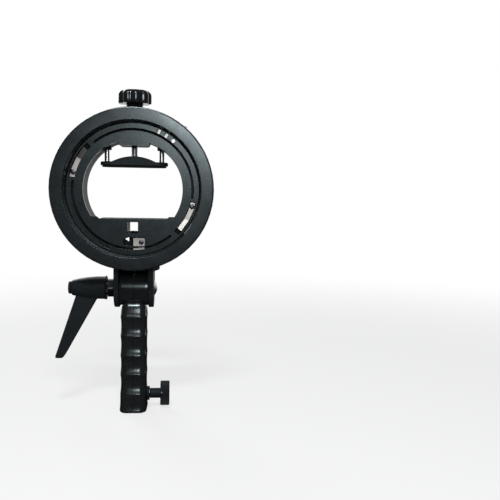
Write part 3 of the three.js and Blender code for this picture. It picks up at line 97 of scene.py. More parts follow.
# %% [markdown]
# ## From a bmesh to a finished piece
#
# A bmesh is a mesh in the hand: operators shape it, and at the end it is written into a mesh datablock
# that an object shows. Doubles are merged before the normals are recalculated, because an operator such
# as spin can leave a seam, and a seam makes the outside ambiguous.

# %% Turn a bmesh into an object
weld_distance = 0.002 * mm


def object_from(name, bm, turn_outward=True):
    """Merges doubles, turns the faces outward where asked to, and links the mesh as an object."""
    bmesh.ops.remove_doubles(bm, verts=bm.verts[:], dist=weld_distance)
    if turn_outward:
        bmesh.ops.recalc_face_normals(bm, faces=bm.faces[:])
    mesh = bpy.data.meshes.new(name)
    bm.to_mesh(mesh)
    bm.free()
    piece = bpy.data.objects.new(name, mesh)
    bpy.context.scene.collection.objects.link(piece)
    return piece


def smooth(piece, degrees=32):
    """Shades a piece smooth, and keeps an edge sharp where its faces meet more steeply."""
    piece.data.shade_smooth()
    piece.data.set_sharp_from_angle(angle=math.radians(degrees))
    return piece


def place_piece(piece, material, slot, *replaced, body=None):
    """Gives a piece its material, and the body and CAD nodes that it stands for."""
    piece.data.materials.clear()
    piece.data.materials.append(material)
    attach(piece, body or body_of[replaced[0]])
    if replaced:
        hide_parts(*replaced)
    return piece


# %% [markdown]
# ## The camera
#
# The photograph shows the bracket from the front, a little from its left, at the height of the ring.
# The place, the turn and the lens below were found from the ring's circle and the ends of the grip,
# the knob and the lever. The camera turns towards the picture's middle and has no shift.

# %% Camera
camera_data = bpy.data.cameras.new("studio_camera")
camera_data.lens = 50.4
camera_data.sensor_width = 36
camera_data.clip_start = 0.01
camera = bpy.data.objects.new("studio_camera", camera_data)
camera_yaw = math.radians(-5.08)
camera_pitch = math.radians(90 - 4.30)
camera_roll = math.radians(0.96)
camera.location = Vector((51.5, -686.66, 209.4)) * mm
turn = Matrix.Rotation(camera_yaw, 4, "Z") @ Matrix.Rotation(camera_pitch, 4, "X")
camera.rotation_euler = (turn @ Matrix.Rotation(camera_roll, 4, "Z")).to_euler()
bpy.context.scene.collection.objects.link(camera)
bpy.context.scene.camera = camera
print("camera at", [round(c, 3) for c in camera.location])

# %% [markdown]
# ## Light, floor and backdrop
#
# A dark plastic shows its form by what it mirrors, so the lamps are soft: a key high in front that
# lights the crests of the grip, a lamp near the camera for the sheen that runs over the ring, and a
# strip from behind that draws the edges. Their powers are low enough that a matte grey on the ring
# renders about as it is written. The world lights softly too, and is white only for the camera and for
# mirrored and bent rays.

# %% World and lamps
world = bpy.data.worlds.new("white_studio")
bpy.context.scene.world = world
world.use_nodes = True
world_tree = world.node_tree
world_tree.nodes.clear()
ambient = world_tree.nodes.new("ShaderNodeBackground")
ambient.inputs["Color"].default_value = (0.93, 0.96, 1, 1)
ambient.inputs["Strength"].default_value = 0.22
shown = world_tree.nodes.new("ShaderNodeBackground")
shown.inputs["Color"].default_value = (1, 1, 1, 1)
shown.inputs["Strength"].default_value = 1
light_path = world_tree.nodes.new("ShaderNodeLightPath")
camera_or_glossy = world_tree.nodes.new("ShaderNodeMath")
camera_or_glossy.operation = "MAXIMUM"
or_transmission = world_tree.nodes.new("ShaderNodeMath")
or_transmission.operation = "MAXIMUM"
world_mix = world_tree.nodes.new("ShaderNodeMixShader")
world_out = world_tree.nodes.new("ShaderNodeOutputWorld")
world_tree.links.new(light_path.outputs["Is Camera Ray"], camera_or_glossy.inputs[0])
world_tree.links.new(light_path.outputs["Is Glossy Ray"], camera_or_glossy.inputs[1])
world_tree.links.new(camera_or_glossy.outputs[0], or_transmission.inputs[0])
world_tree.links.new(light_path.outputs["Is Transmission Ray"], or_transmission.inputs[1])
world_tree.links.new(or_transmission.outputs[0], world_mix.inputs[0])
world_tree.links.new(ambient.outputs[0], world_mix.inputs[1])
world_tree.links.new(shown.outputs[0], world_mix.inputs[2])
world_tree.links.new(world_mix.outputs[0], world_out.inputs["Surface"])


def softbox(name, place, target, width, height, power):
    data = bpy.data.lights.new(name, "AREA")
    data.shape = "RECTANGLE"
    data.size = width
    data.size_y = height
    data.energy = power
    lamp = bpy.data.objects.new(name, data)
    lamp.location = place
    lamp.rotation_euler = (Vector(target) - Vector(place)).to_track_quat("-Z", "Y").to_euler()
    bpy.context.scene.collection.objects.link(lamp)
    return lamp


softbox("key", (-0.02, -0.62, 0.86), pivot_middle, width=0.26, height=0.09, power=4.6)
softbox("sheen", (0.105, -0.95, 0.44), ring_middle, width=0.22, height=0.22, power=2.4)
softbox("rear_strip", (-0.5, 1.0, 0.8), ring_middle, width=0.5, height=0.9, power=5)

# %% [markdown]
# A white studio all round a black object would lie on it as a grey veil. So object and camera stand in a
# black tent that is open towards the backdrop. Only mirrored rays meet it: it casts no shadow and takes
# no light away. Glossy plastic and metal mirror the white studio through its open side alone.

# %% Black tent round the camera
tent_half_width = 1.6
tent_back = -1.5
tent_front = 0.9
tent_top = 1.7
tent_lift = 0.2 * mm
tent_foot = cad_box[0].z + tent_lift
tent_bm = bmesh.new()
tent_cube = bmesh.ops.create_cube(tent_bm, size=1)["verts"]
tent_size = (2 * tent_half_width, tent_front - tent_back, tent_top - tent_foot)
bmesh.ops.scale(tent_bm, vec=tent_size, verts=tent_cube)
tent_place = (0, (tent_front + tent_back) / 2, (tent_top + tent_foot) / 2)
bmesh.ops.translate(tent_bm, vec=tent_place, verts=tent_cube)
tent_bm.faces.ensure_lookup_table()
open_side = [face for face in tent_bm.faces if face.calc_center_median().y > tent_front - mm]
bmesh.ops.delete(tent_bm, geom=open_side, context="FACES_ONLY")
card = object_from("studio_black_tent", tent_bm)
card_material = bpy.data.materials.new("black_card")
card_material.use_nodes = True
card_shader = card_material.node_tree.nodes["Principled BSDF"]
card_shader.inputs["Base Color"].default_value = (0.01, 0.01, 0.01, 1)
card_shader.inputs["Specular IOR Level"].default_value = 0
card.data.materials.append(card_material)
card.visible_camera = False
card.visible_diffuse = False
card.visible_shadow = False
print("tent", [round(side, 2) for side in tent_size], "m")

# %% [markdown]
# The floor is pale and keeps the object's shadow. For the camera and for mirrored rays a share of it is
# plain white, near_white close to the object and all of it from white_at on, so it runs into the
# backdrop without more light on the object.

# %% Floor
floor_reach = 3
floor_drop = 0.05 * mm
near_white = 0.68
white_from = 0.35
white_at = 1.3
floor_bm = bmesh.new()
bmesh.ops.create_grid(floor_bm, x_segments=1, y_segments=1, size=floor_reach)
bmesh.ops.translate(floor_bm, verts=floor_bm.verts[:], vec=(0, 0, cad_box[0].z - floor_drop))
floor = object_from("studio_floor", floor_bm)
floor_material = bpy.data.materials.new("pale_floor")
floor_material.use_nodes = True
floor_tree = floor_material.node_tree
floor_tree.nodes.clear()
matte = floor_tree.nodes.new("ShaderNodeBsdfDiffuse")
matte.inputs["Color"].default_value = (0.86, 0.865, 0.87, 1)
white = floor_tree.nodes.new("ShaderNodeEmission")
white.inputs["Strength"].default_value = 1
far_off = floor_tree.nodes.new("ShaderNodeVectorMath")
far_off.operation = "LENGTH"
whiter = floor_tree.nodes.new("ShaderNodeMapRange")
whiter.interpolation_type = "SMOOTHSTEP"
whiter.inputs["From Min"].default_value = white_from
whiter.inputs["From Max"].default_value = white_at
whiter.inputs["To Min"].default_value = near_white
seen = floor_tree.nodes.new("ShaderNodeLightPath")
seen_or_mirrored = floor_tree.nodes.new("ShaderNodeMath")
seen_or_mirrored.operation = "MAXIMUM"
share = floor_tree.nodes.new("ShaderNodeMath")
share.operation = "MULTIPLY"
floor_mix = floor_tree.nodes.new("ShaderNodeMixShader")
floor_out = floor_tree.nodes.new("ShaderNodeOutputMaterial")
floor_place = floor_tree.nodes.new("ShaderNodeTexCoord")
floor_tree.links.new(floor_place.outputs["Object"], far_off.inputs[0])
floor_tree.links.new(far_off.outputs["Value"], whiter.inputs["Value"])
floor_tree.links.new(seen.outputs["Is Camera Ray"], seen_or_mirrored.inputs[0])
floor_tree.links.new(seen.outputs["Is Glossy Ray"], seen_or_mirrored.inputs[1])
floor_tree.links.new(seen_or_mirrored.outputs[0], share.inputs[0])
floor_tree.links.new(whiter.outputs["Result"], share.inputs[1])
floor_tree.links.new(share.outputs[0], floor_mix.inputs[0])
floor_tree.links.new(matte.outputs[0], floor_mix.inputs[1])
floor_tree.links.new(white.outputs[0], floor_mix.inputs[2])
floor_tree.links.new(floor_mix.outputs[0], floor_out.inputs["Surface"])
floor.data.materials.append(floor_material)
print("floor at z", round(cad_box[0].z, 4))

# %% [markdown]
# ## Surfaces
#
# Nearly everything here is black, so the surfaces differ by grain and gloss and not by colour: a fine
# spark-eroded grain on the ring, a smoother satin on the frame and lever, a gloss on grip and knob,
# rubber on the pads, and bright or dark plated steel. One function makes the plastics. Its fine noise
# becomes bump, and a broad noise lets the roughness and the colour drift as they do on a real moulding.

# %% Shared texture helpers
def start_material(name):
    material = bpy.data.materials.new(name)
    material.use_nodes = True
    tree = material.node_tree
    coordinates = tree.nodes.new("ShaderNodeTexCoord")
    return material, tree, tree.nodes["Principled BSDF"], coordinates.outputs["Object"]


def noise_of(tree, coordinates, size, detail=3, roughness=0.55):
    """Noise whose blots are about as large as size, in metres."""
    noise = tree.nodes.new("ShaderNodeTexNoise")
    noise.inputs["Scale"].default_value = 1 / size
    noise.inputs["Detail"].default_value = detail
    noise.inputs["Roughness"].default_value = roughness
    tree.links.new(coordinates, noise.inputs["Vector"])
    return noise.outputs["Fac"]


def ranged(tree, value, low, high):
    """Maps a noise, which stays mostly between 0.3 and 0.7, to a range."""
    spread = tree.nodes.new("ShaderNodeMapRange")
    spread.inputs["From Min"].default_value = 0.3
    spread.inputs["From Max"].default_value = 0.7
    spread.inputs["To Min"].default_value = low
    spread.inputs["To Max"].default_value = high
    tree.links.new(value, spread.inputs["Value"])
    return spread.outputs["Result"]


def drifting_colour(tree, value, colour, drift):
    """A colour that gets a little darker and lighter with a noise."""
    ramp = tree.nodes.new("ShaderNodeValToRGB")
    ramp.color_ramp.elements[0].position = 0.3
    ramp.color_ramp.elements[1].position = 0.7
    ramp.color_ramp.elements[0].color = (*[c * (1 - drift) for c in colour], 1)
    ramp.color_ramp.elements[1].color = (*[c * (1 + drift) for c in colour], 1)
    tree.links.new(value, ramp.inputs["Fac"])
    return ramp.outputs["Color"]


def bumped(tree, shader, height, depth):
    bump = tree.nodes.new("ShaderNodeBump")
    bump.inputs["Strength"].default_value = 1
    bump.inputs["Distance"].default_value = depth
    tree.links.new(height, bump.inputs["Height"])
    tree.links.new(bump.outputs["Normal"], shader.inputs["Normal"])


# %% Moulded plastics and rubber
blot_size = 14 * mm
cloud_size = 2.2 * mm
colour_drift = 0.18


def moulded(name, colour, roughness, grain_size, grain_depth, specular, mottle):
    """A moulding: mottle is how far its roughness strays from the value given."""
    material, tree, shader, coordinates = start_material(name)
    broad = noise_of(tree, coordinates, blot_size)
    cloudy = noise_of(tree, coordinates, cloud_size, detail=5)
    tree.links.new(drifting_colour(tree, cloudy, colour, colour_drift), shader.inputs["Base Color"])
    rough = ranged(tree, broad, roughness - mottle, roughness + mottle)
    tree.links.new(rough, shader.inputs["Roughness"])
    shader.inputs["Specular IOR Level"].default_value = specular
    shader.inputs["Specular Tint"].default_value = (0.8, 0.95, 1, 1)
    grain = noise_of(tree, coordinates, grain_size, detail=2, roughness=0.6)
    bumped(tree, shader, grain, grain_depth)
    return material


black = (0.0108, 0.0134, 0.0148)
gloss_black = (0.0115, 0.0127, 0.0135)
knob_black = (0.0105, 0.0112, 0.0118)
rubber_black = (0.012, 0.012, 0.012)
# Each row: name, colour, roughness, size and depth of the grain in mm, specular level, mottle.
plastics = {
    "grained": ("black_grained_plastic", black, 0.27, 0.8, 0.009, 0.65, 0.03),
    "satin": ("black_satin_plastic", black, 0.5, 0.6, 0.005, 0.12, 0.03),
    "lever": ("black_lever_plastic", black, 0.45, 0.4, 0.006, 0.2, 0.03),
    "gloss": ("black_gloss_plastic", gloss_black, 0.2, 1.4, 0.003, 0.65, 0.025),
    "knob": ("black_pressed_knob", knob_black, 0.16, 3, 0.002, 0.5, 0.03),
    "rubber": ("black_rubber", rubber_black, 0.8, 0.5, 0.04, 0.2, 0.06),
}
materials = {}
for key, (name, colour, roughness, grain_size, grain_depth, specular, mottle) in plastics.items():
    materials[key] = moulded(name, colour, roughness, grain_size * mm, grain_depth * mm, specular, mottle)
print("plastics", list(materials))

# %% Plated and cast metals
streak_size = 0.5 * mm
streak_depth = 0.001 * mm
patch_size = 6 * mm
metal_drift = 0.06
polished_by, dulled_by = 0.06, 0.08


def plated(name, colour, roughness, streak):
    """A plated part: long faint streaks along one axis from drawing or turning."""
    material, tree, shader, coordinates = start_material(name)
    shader.inputs["Metallic"].default_value = 1
    stretch = tree.nodes.new("ShaderNodeMapping")
    stretch.inputs["Scale"].default_value = streak
    tree.links.new(coordinates, stretch.inputs["Vector"])
    streaks = noise_of(tree, stretch.outputs["Vector"], streak_size)
    broad = noise_of(tree, coordinates, patch_size)
    tree.links.new(drifting_colour(tree, broad, colour, metal_drift), shader.inputs["Base Color"])
    rough = ranged(tree, streaks, roughness - polished_by, roughness + dulled_by)
    tree.links.new(rough, shader.inputs["Roughness"])
    bumped(tree, shader, streaks, streak_depth)
    return material


materials["zinc"] = plated("bright_zinc", (0.71, 0.73, 0.75), 0.36, (1, 1, 0.08))
materials["leaf"] = plated("bright_spring_leaf", (0.6, 0.58, 0.55), 0.42, (0.3, 1, 1))
materials["dark_steel"] = plated("dark_steel", (0.13, 0.14, 0.15), 0.38, (1, 1, 1))
materials["alloy"] = plated("cast_alloy", (0.5, 0.51, 0.52), 0.45, (1, 1, 1))
slots = {
    "grained": "black_grained", "satin": "black_satin", "lever": "black_satin", "gloss": "black_gloss",
    "rubber": "black_rubber", "zinc": "bright_zinc", "leaf": "bright_zinc", "dark_steel": "dark_steel",
    "alloy": "alloy",
}
print("materials", len(materials))

# %% [markdown]
# ## Turned pieces
#
# Knobs, bolts, rods and barrels are round, and a lathe would cut them. The spin operator is Blender's
# lathe: a few vertices in one plane are the profile, and spin carries them round an axis. A profile is
# written as pairs of a radius and a place along the axis.

# %% The lathe
along = {"X": Vector((1, 0, 0)), "Y": Vector((0, 1, 0)), "Z": Vector((0, 0, 1))}
across = {"X": Vector((0, 0, 1)), "Y": Vector((1, 0, 0)), "Z": Vector((1, 0, 0))}


def turned(bm, profile, axis, centre, steps):
    """Spins a profile round an axis through centre, which is zero along that axis."""
    foot = Vector(centre) - along[axis] * Vector(centre).dot(along[axis])
    verts = [bm.verts.new(foot + across[axis] * r + along[axis] * a) for r, a in profile]
    edges = [bm.edges.new(pair) for pair in zip(verts, verts[1:])]
    bmesh.ops.spin(
        bm,
        geom=verts + edges,
        cent=foot,
        axis=along[axis],
        dvec=(0, 0, 0),
        angle=2 * math.pi,
        steps=steps,
        use_merge=True,
    )


def turned_tool(profile, axis, centre, steps):
    """A turned object that a carving or a union uses up."""
    bm = bmesh.new()
    turned(bm, profile, axis, centre, steps)
    return object_from("tool", bm)


def rounded(radius, place, size, toward_radius, toward_place, steps=3):
    """Points of a rounded corner of a profile: size is its radius, the two signs say where it turns."""
    points = []
    for i in range(steps + 1):
        a = math.pi / 2 * i / steps
        points.append((
            radius + toward_radius * size * (1 - math.sin(a)),
            place + toward_place * size * (1 - math.cos(a)),
        ))
    return points


# %% [markdown]
# ## Joining and carving
#
# A hole is easiest to make as it is in a workshop: a tool of the hole's shape is taken away from the
# body. The Boolean modifier does that, and its result is written back at once, so that the tools can go.

# %% Boolean helper
def carved(piece, tools, operation="DIFFERENCE"):
    for tool in tools:
        step = piece.modifiers.new("carve", "BOOLEAN")
        step.operation = operation
        step.object = tool
        step.solver = "EXACT"
    bpy.context.view_layer.update()
    shape = piece.evaluated_get(bpy.context.evaluated_depsgraph_get())
    piece.data = bpy.data.meshes.new_from_object(shape)
    piece.modifiers.clear()
    for tool in tools:
        bpy.data.objects.remove(tool, do_unlink=True)
    return piece


# %% [markdown]
# ## Skins over level sections
#
# The grip and the clamp knob change their outline slowly from bottom to top. Each is a stack of level
# outlines with as many points each, and bridging two neighbours gives the skin between them.

# %% Skin helper
def skin(bm, sections):
    """Bridges each closed outline to the next, and returns the edges of the first and the last."""
    loops = []
    for section in sections:
        verts = [bm.verts.new(point) for point in section]
        loops.append([bm.edges.new((verts[i - 1], verts[i])) for i in range(len(verts))])
    for lower, upper in zip(loops, loops[1:]):
        bmesh.ops.bridge_loops(bm, edges=lower + upper)
    return loops[0], loops[-1]


# %% [markdown]
# ## The grip
#
# A pistol grip moulded in two halves. In front are five hollows for the fingers, each an arc between
# two crests, and the hollows run a little round the sides. The foot flares, most of all towards the
# palm. The barrel on top is turned, with a rim at each end, and joined on.

# %% Sections of the grip
grip_half_width = 12.5 * mm
grip_back = 18.5 * mm
grip_front = 18.3 * mm
grip_corner = 7 * mm
grip_top = 107.4 * mm
shoulder = 9 * mm
shoulder_inset = 7 * mm
foot_round = 2.2 * mm
flare = 0.7 * mm
flare_back = 2.6 * mm
flare_height = 12 * mm
flare_front = 1.5 * mm
flare_front_height = 8 * mm
first_crest = 18.4 * mm
finger_pitch = 18.7 * mm
finger_depth = 2.8 * mm
finger_count = 5
crest_round = 0.8 * mm
side_share = 0.16
palm_steps = 28
corner_steps = 9


def finger_hollow(z):
    """How deep the grip's front is hollowed at a height."""
    number = math.floor((z - first_crest) / finger_pitch)
    if number < 0 or number >= finger_count:
        return 0
    radius = (finger_pitch ** 2 / 4 + finger_depth ** 2) / (2 * finger_depth)
    from_crest = z - first_crest - number * finger_pitch
    from_crest = min(from_crest, finger_pitch - from_crest)
    level = max(from_crest, crest_round)
    depth = math.sqrt(radius ** 2 - (finger_pitch / 2 - level) ** 2) - radius + finger_depth
    slope = (finger_pitch / 2 - level) / radius
    if from_crest < crest_round:
        depth -= slope * (crest_round ** 2 - from_crest ** 2) / (2 * crest_round)
    return max(depth, 0)


def grip_outline(z):
    """The grip's closed outline at a height: a half circle at the palm and two rounded corners in front."""
    grow, behind = 0, 0
    if z < flare_height:
        share = (1 - z / flare_height) ** 2
        grow, behind = flare * share, flare_back * share
    if z < foot_round:
        grow -= foot_round - math.sqrt(foot_round ** 2 - (foot_round - z) ** 2)
    if z > grip_top - shoulder:
        up = (z - grip_top + shoulder) / shoulder
        grow -= shoulder_inset * (1 - math.sqrt(max(0, 1 - up ** 2)))
    ahead = flare_front * (1 - z / flare_front_height) ** 2 if z < flare_front_height else 0
    dent = finger_hollow(z)
    half = grip_half_width + grow - side_share * dent
    corner = max(grip_corner + grow, half / 4)
    front = grip_front + grow + ahead - dent
    points = []
    arcs = (
        (0, grip_back - grip_half_width + behind, half, 0, 180, palm_steps),
        (corner - half, corner - front, corner, 180, 270, corner_steps),
        (half - corner, corner - front, corner, 270, 360, corner_steps),
    )
    for x, y, radius, start, end, steps in arcs:
        for i in range(steps + 1):
            a = math.radians(start + (end - start) * i / steps)
            points.append(Vector((x + radius * math.cos(a), y + radius * math.sin(a), z)))
    return points


# %% The grip's halves
level_step = 0.8 * mm
least_step = 0.05 * mm
foot_steps = 5
shoulder_steps = 8
first_shoulder_step = 5
levels = sorted(
    [foot_round * (1 - math.cos(math.pi / 2 * i / foot_steps)) for i in range(foot_steps + 1)]
    + [foot_round + level_step * i for i in range(1, int((grip_top - foot_round) / level_step))]
    + [grip_top - shoulder * (1 - math.sin(math.pi / 2 * i / shoulder_steps))
       for i in range(first_shoulder_step, shoulder_steps + 1)]
)
levels = [z for i, z in enumerate(levels) if i == 0 or z - levels[i - 1] > least_step]
pivot = (0, 0, pivot_middle.z)
grip_bm = bmesh.new()
low_loop, high_loop = skin(grip_bm, [grip_outline(z) for z in levels])
bmesh.ops.contextual_create(grip_bm, geom=low_loop)
bmesh.ops.contextual_create(grip_bm, geom=high_loop)
grip = object_from("grip_body", grip_bm)

barrel_half = 13.7 * mm
barrel_radius = 16 * mm
rim_radius = 16.8 * mm
rim_width = 3 * mm
rim_round = 0.5 * mm
barrel_profile = [(0, -barrel_half)]
barrel_profile += rounded(rim_radius, -barrel_half, rim_round, -1, 1)
barrel_profile += [(rim_radius, -barrel_half + rim_width), (barrel_radius, -barrel_half + rim_width)]
barrel_profile += [(r, -a) for r, a in reversed(barrel_profile)]
barrel = turned_tool(barrel_profile, "X", pivot, steps=96)
carved(grip, [barrel], "UNION")

reach = 30 * mm
past = 1 * mm
washer_seat = 11.8 * mm
seat_at = 12.2 * mm
bolt_bore = 4.3 * mm
sleeve_bore = 9.7 * mm
sleeve_top = 40.3 * mm
bush_bore = 5.7 * mm
thumb_middle = middle("thumbscrew_bush")
holes = [
    turned_tool(
        [(0, -reach), (washer_seat, -reach), (washer_seat, -seat_at), (bolt_bore, -seat_at),
         (bolt_bore, seat_at), (washer_seat, seat_at), (washer_seat, reach), (0, reach)],
        "X", pivot, steps=64,
    ),
    turned_tool(
        [(0, -past), (sleeve_bore, -past), (sleeve_bore, sleeve_top), (0, sleeve_top)],
        "Z", (0, 0, 0), steps=64,
    ),
    turned_tool([(0, 0), (bush_bore, 0), (bush_bore, reach), (0, reach)], "X", thumb_middle, steps=48),
]
head_clearance = 0.3 * mm
shank_hole = 1.8 * mm
head_depth = 2.3 * mm
for screw_name in ("grip_screw_lower", "grip_screw_upper"):
    low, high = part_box(screw_name)
    head_hole = (high.z - low.z) / 2 + head_clearance
    seat = low.x + head_depth
    profile = [(0, -reach), (head_hole, -reach), (head_hole, seat), (shank_hole, seat),
               (shank_hole, high.x + past), (0, high.x + past)]
    holes.append(turned_tool(profile, "X", middle(screw_name), steps=32))
carved(grip, holes)

seam = 0.3 * mm
for side, node in ((-1, "grip_left_half"), (1, "grip_right_half")):
    half_bm = bmesh.new()
    half_bm.from_mesh(grip.data)
    cut = bmesh.ops.bisect_plane(
        half_bm,
        geom=half_bm.verts[:] + half_bm.edges[:] + half_bm.faces[:],
        plane_co=(side * seam / 2, 0, 0),
        plane_no=(-side, 0, 0),
        clear_outer=True,
    )
    rim = [part for part in cut["geom_cut"] if isinstance(part, bmesh.types.BMEdge)]
    bmesh.ops.triangle_fill(half_bm, edges=rim, use_beauty=True)
    half = smooth(object_from(node + "_moulded", half_bm), degrees=28)
    place_piece(half, materials["gloss"], slots["gloss"], node)
    print(node, "faces", len(half.data.polygons))
bpy.data.objects.remove(grip, do_unlink=True)

# %% [markdown]
# ## The clamp knob
#
# A pressed phenolic knob: nine full lobes with narrow flutes between them, a rounded top and a conical
# foot. The outline's radius dips at each flute, and the same outline shrinks along a quarter round to
# the slightly crowned top.

# %% Clamp knob
knob_low, knob_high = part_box("clamp_knob")
knob_axis = middle("clamp_screw")
knob_radius = 15.8 * mm
flute_depth = 1.7 * mm
lobe_count = 9
lobe_steps = 20
knob_round = 5 * mm
foot_height = 4 * mm
foot_curve = ((1.3 * mm, 0), (0.5 * mm, 0.2 * mm), (0.12 * mm, 0.6 * mm), (0, 1.1 * mm))
knob_crown = 0.5 * mm
flute_sharpness = 1.7
flute_fade = 0.75


def knob_outline(inset, z, flute=1.0):
    """The lobed outline at a height, drawn in by inset. flute is the share of the flutes' depth left."""
    points = []
    for i in range(lobe_count * lobe_steps):
        a = 2 * math.pi * i / (lobe_count * lobe_steps)
        dip = (0.5 - 0.5 * math.cos(a * lobe_count)) ** flute_sharpness
        radius = knob_radius - inset - flute * flute_depth * dip
        x, y = knob_axis.x + radius * math.cos(a), knob_axis.y + radius * math.sin(a)
        points.append(Vector((x, y, z)))
    return points


knob_base = knob_low.z + foot_height
knob_top = knob_high.z - knob_crown
knob_sections = [knob_outline(inset, knob_base + rise) for inset, rise in foot_curve]
round_levels = 7
for i in range(round_levels + 1):
    a = math.pi / 2 * i / round_levels
    inset = knob_round * (1 - math.cos(a))
    height = knob_top - knob_round * (1 - math.sin(a))
    knob_sections.append(knob_outline(inset, height, 1 - flute_fade * math.sin(a) ** 3))
crown_shares = (0.6, 0.3)
for share in crown_shares:
    inset = knob_radius - (knob_radius - knob_round) * share
    knob_sections.append(knob_outline(inset, knob_top + knob_crown * (1 - share ** 2), 0))
knob_bm = bmesh.new()
base_loop, top_loop = skin(knob_bm, knob_sections)
bmesh.ops.contextual_create(knob_bm, geom=base_loop)
bmesh.ops.contextual_create(knob_bm, geom=top_loop)
knob = object_from("clamp_knob_pressed", knob_bm)
hub_foot = 7.2 * mm
hub_round = 0.3 * mm
hub_top = 8.4 * mm
hub_profile = [(0, knob_low.z), (hub_foot - hub_round, knob_low.z), (hub_foot, knob_low.z + hub_round),
               (hub_top, knob_base), (hub_top, knob_base + past), (0, knob_base + past)]
carved(knob, [turned_tool(hub_profile, "Z", knob_axis, steps=64)], "UNION")
screw_bore = 3.3 * mm
bore_end = knob_base + 9.4 * mm
bore_start = knob_low.z - past
bore_profile = [(0, bore_start), (screw_bore, bore_start), (screw_bore, bore_end), (0, bore_end)]
carved(knob, [turned_tool(bore_profile, "Z", knob_axis, steps=32)])
place_piece(smooth(knob, degrees=30), materials["knob"], slots["gloss"], "clamp_knob")
print("clamp knob faces", len(knob.data.polygons))

# %% [markdown]
# ## The clamp screw's thread
#
# Spin can also climb while it turns. The profile of one thread is as tall as one turn climbs, so each
# turn's top meets the next turn's bottom and merging closes them. The ragged ends are cut level and
# filled.

# %% Threaded rod
thread_radius = 3 * mm
thread_depth = 0.45 * mm
thread_pitch = 1 * mm
thread_steps = 24
crest_from, crest_to = 0.38, 0.62
thread_weld = 0.01 * mm


def threaded_rod(bm, axis_point, low, high, crest, depth, pitch, steps):
    """A thread about a level axis point, from low to high. crest is its outer radius."""
    turns = math.ceil((high - low) / pitch) + 2
    root = crest - depth
    profile = ((root, 0), (crest, crest_from), (crest, crest_to), (root, 1))
    start = low - pitch
    verts = [bm.verts.new((axis_point.x + r, axis_point.y, start + share * pitch)) for r, share in profile]
    edges = [bm.edges.new(pair) for pair in zip(verts, verts[1:])]
    bmesh.ops.spin(
        bm,
        geom=verts + edges,
        cent=(axis_point.x, axis_point.y, 0),
        axis=(0, 0, 1),
        dvec=(0, 0, pitch / steps),
        angle=2 * math.pi * turns,
        steps=steps * turns,
        use_merge=False,
    )
    bmesh.ops.remove_doubles(bm, verts=bm.verts[:], dist=thread_weld)
    for place, normal in ((low, -1), (high, 1)):
        cut = bmesh.ops.bisect_plane(
            bm,
            geom=bm.verts[:] + bm.edges[:] + bm.faces[:],
            plane_co=(0, 0, place),
            plane_no=(0, 0, normal),
            clear_outer=True,
        )
        rim = [part for part in cut["geom_cut"] if isinstance(part, bmesh.types.BMEdge)]
        bmesh.ops.holes_fill(bm, edges=rim, sides=0)


screw_low, screw_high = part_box("clamp_screw")
neck_radius = 2.2 * mm
shoulder_gap = 0.3 * mm
screw_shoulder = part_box("clamp_plate")[1].z + shoulder_gap
neck_top = screw_shoulder + past
screw_bm = bmesh.new()
threaded_rod(
    screw_bm, knob_axis, low=screw_shoulder, high=screw_high.z,
    crest=thread_radius, depth=thread_depth, pitch=thread_pitch, steps=thread_steps,
)
neck_profile = [(0, screw_low.z), (neck_radius, screw_low.z), (neck_radius, neck_top), (0, neck_top)]
turned(screw_bm, neck_profile, "Z", knob_axis, steps=32)
clamp_screw = smooth(object_from("clamp_screw_threaded", screw_bm), degrees=40)
place_piece(clamp_screw, materials["zinc"], slots["zinc"], "clamp_screw")
print("clamp screw faces", len(clamp_screw.data.polygons))

# %% [markdown]
# ## Rods, bolt and small screws
#
# The guide rods and the pivot bolt are plain turned parts with rounded ends. Every small screw has the
# same pan head with a cross recess, so one function makes them all from the box of the CAD node.

# %% Guide rods and pivot bolt
rod_end_round = 0.9 * mm
for node in ("guide_rod_left", "guide_rod_right"):
    low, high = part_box(node)
    rod_radius = (high.x - low.x) / 2
    rod_bm = bmesh.new()
    rod_profile = [(0, low.z), (rod_radius, low.z)]
    rod_profile += reversed(rounded(rod_radius, high.z, rod_end_round, -1, -1))
    turned(rod_bm, rod_profile + [(0, high.z)], "Z", middle(node), steps=48)
    place_piece(smooth(object_from(node + "_turned", rod_bm)), materials["zinc"], slots["zinc"], node)

bolt_low, bolt_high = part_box("pivot_bolt")
dome_radius = (bolt_high.z - bolt_low.z) / 2
dome_height = 3 * mm
dome_seat = bolt_high.x - dome_height
dome_edge = 0.3 * mm
bolt_radius = 4 * mm
bolt_chamfer = 0.5 * mm
square_half = 4 * mm
ball_radius = (dome_radius ** 2 + dome_height ** 2) / (2 * dome_height)
dome_profile = [
    (0, bolt_low.x), (bolt_radius - bolt_chamfer, bolt_low.x), (bolt_radius, bolt_low.x + bolt_chamfer),
    (bolt_radius, dome_seat), (dome_radius - dome_edge, dome_seat), (dome_radius, dome_seat + dome_edge),
]
dome_steps = 10
dome_opening = math.asin(dome_radius / ball_radius)
for i in range(1, dome_steps + 1):
    a = dome_opening * (1 - i / dome_steps)
    dome_profile.append((ball_radius * math.sin(a), bolt_high.x - ball_radius * (1 - math.cos(a))))
bolt_bm = bmesh.new()
turned(bolt_bm, dome_profile, "X", pivot, steps=64)
neck = bmesh.ops.create_cube(bolt_bm, size=1)["verts"]
neck_from, neck_to = 14.3 * mm, dome_seat + past
bmesh.ops.scale(bolt_bm, vec=(neck_to - neck_from, 2 * square_half, 2 * square_half), verts=neck)
bmesh.ops.translate(bolt_bm, vec=((neck_to + neck_from) / 2, 0, pivot[2]), verts=neck)
bolt = smooth(object_from("pivot_bolt_turned", bolt_bm), degrees=40)
place_piece(bolt, materials["zinc"], slots["zinc"], "pivot_bolt")
print("rods and bolt made")


# %% Screws with a cross recess
small_head_below = 2.6 * mm
small_head, large_head = 1.3 * mm, 2 * mm
crown_share = 0.35
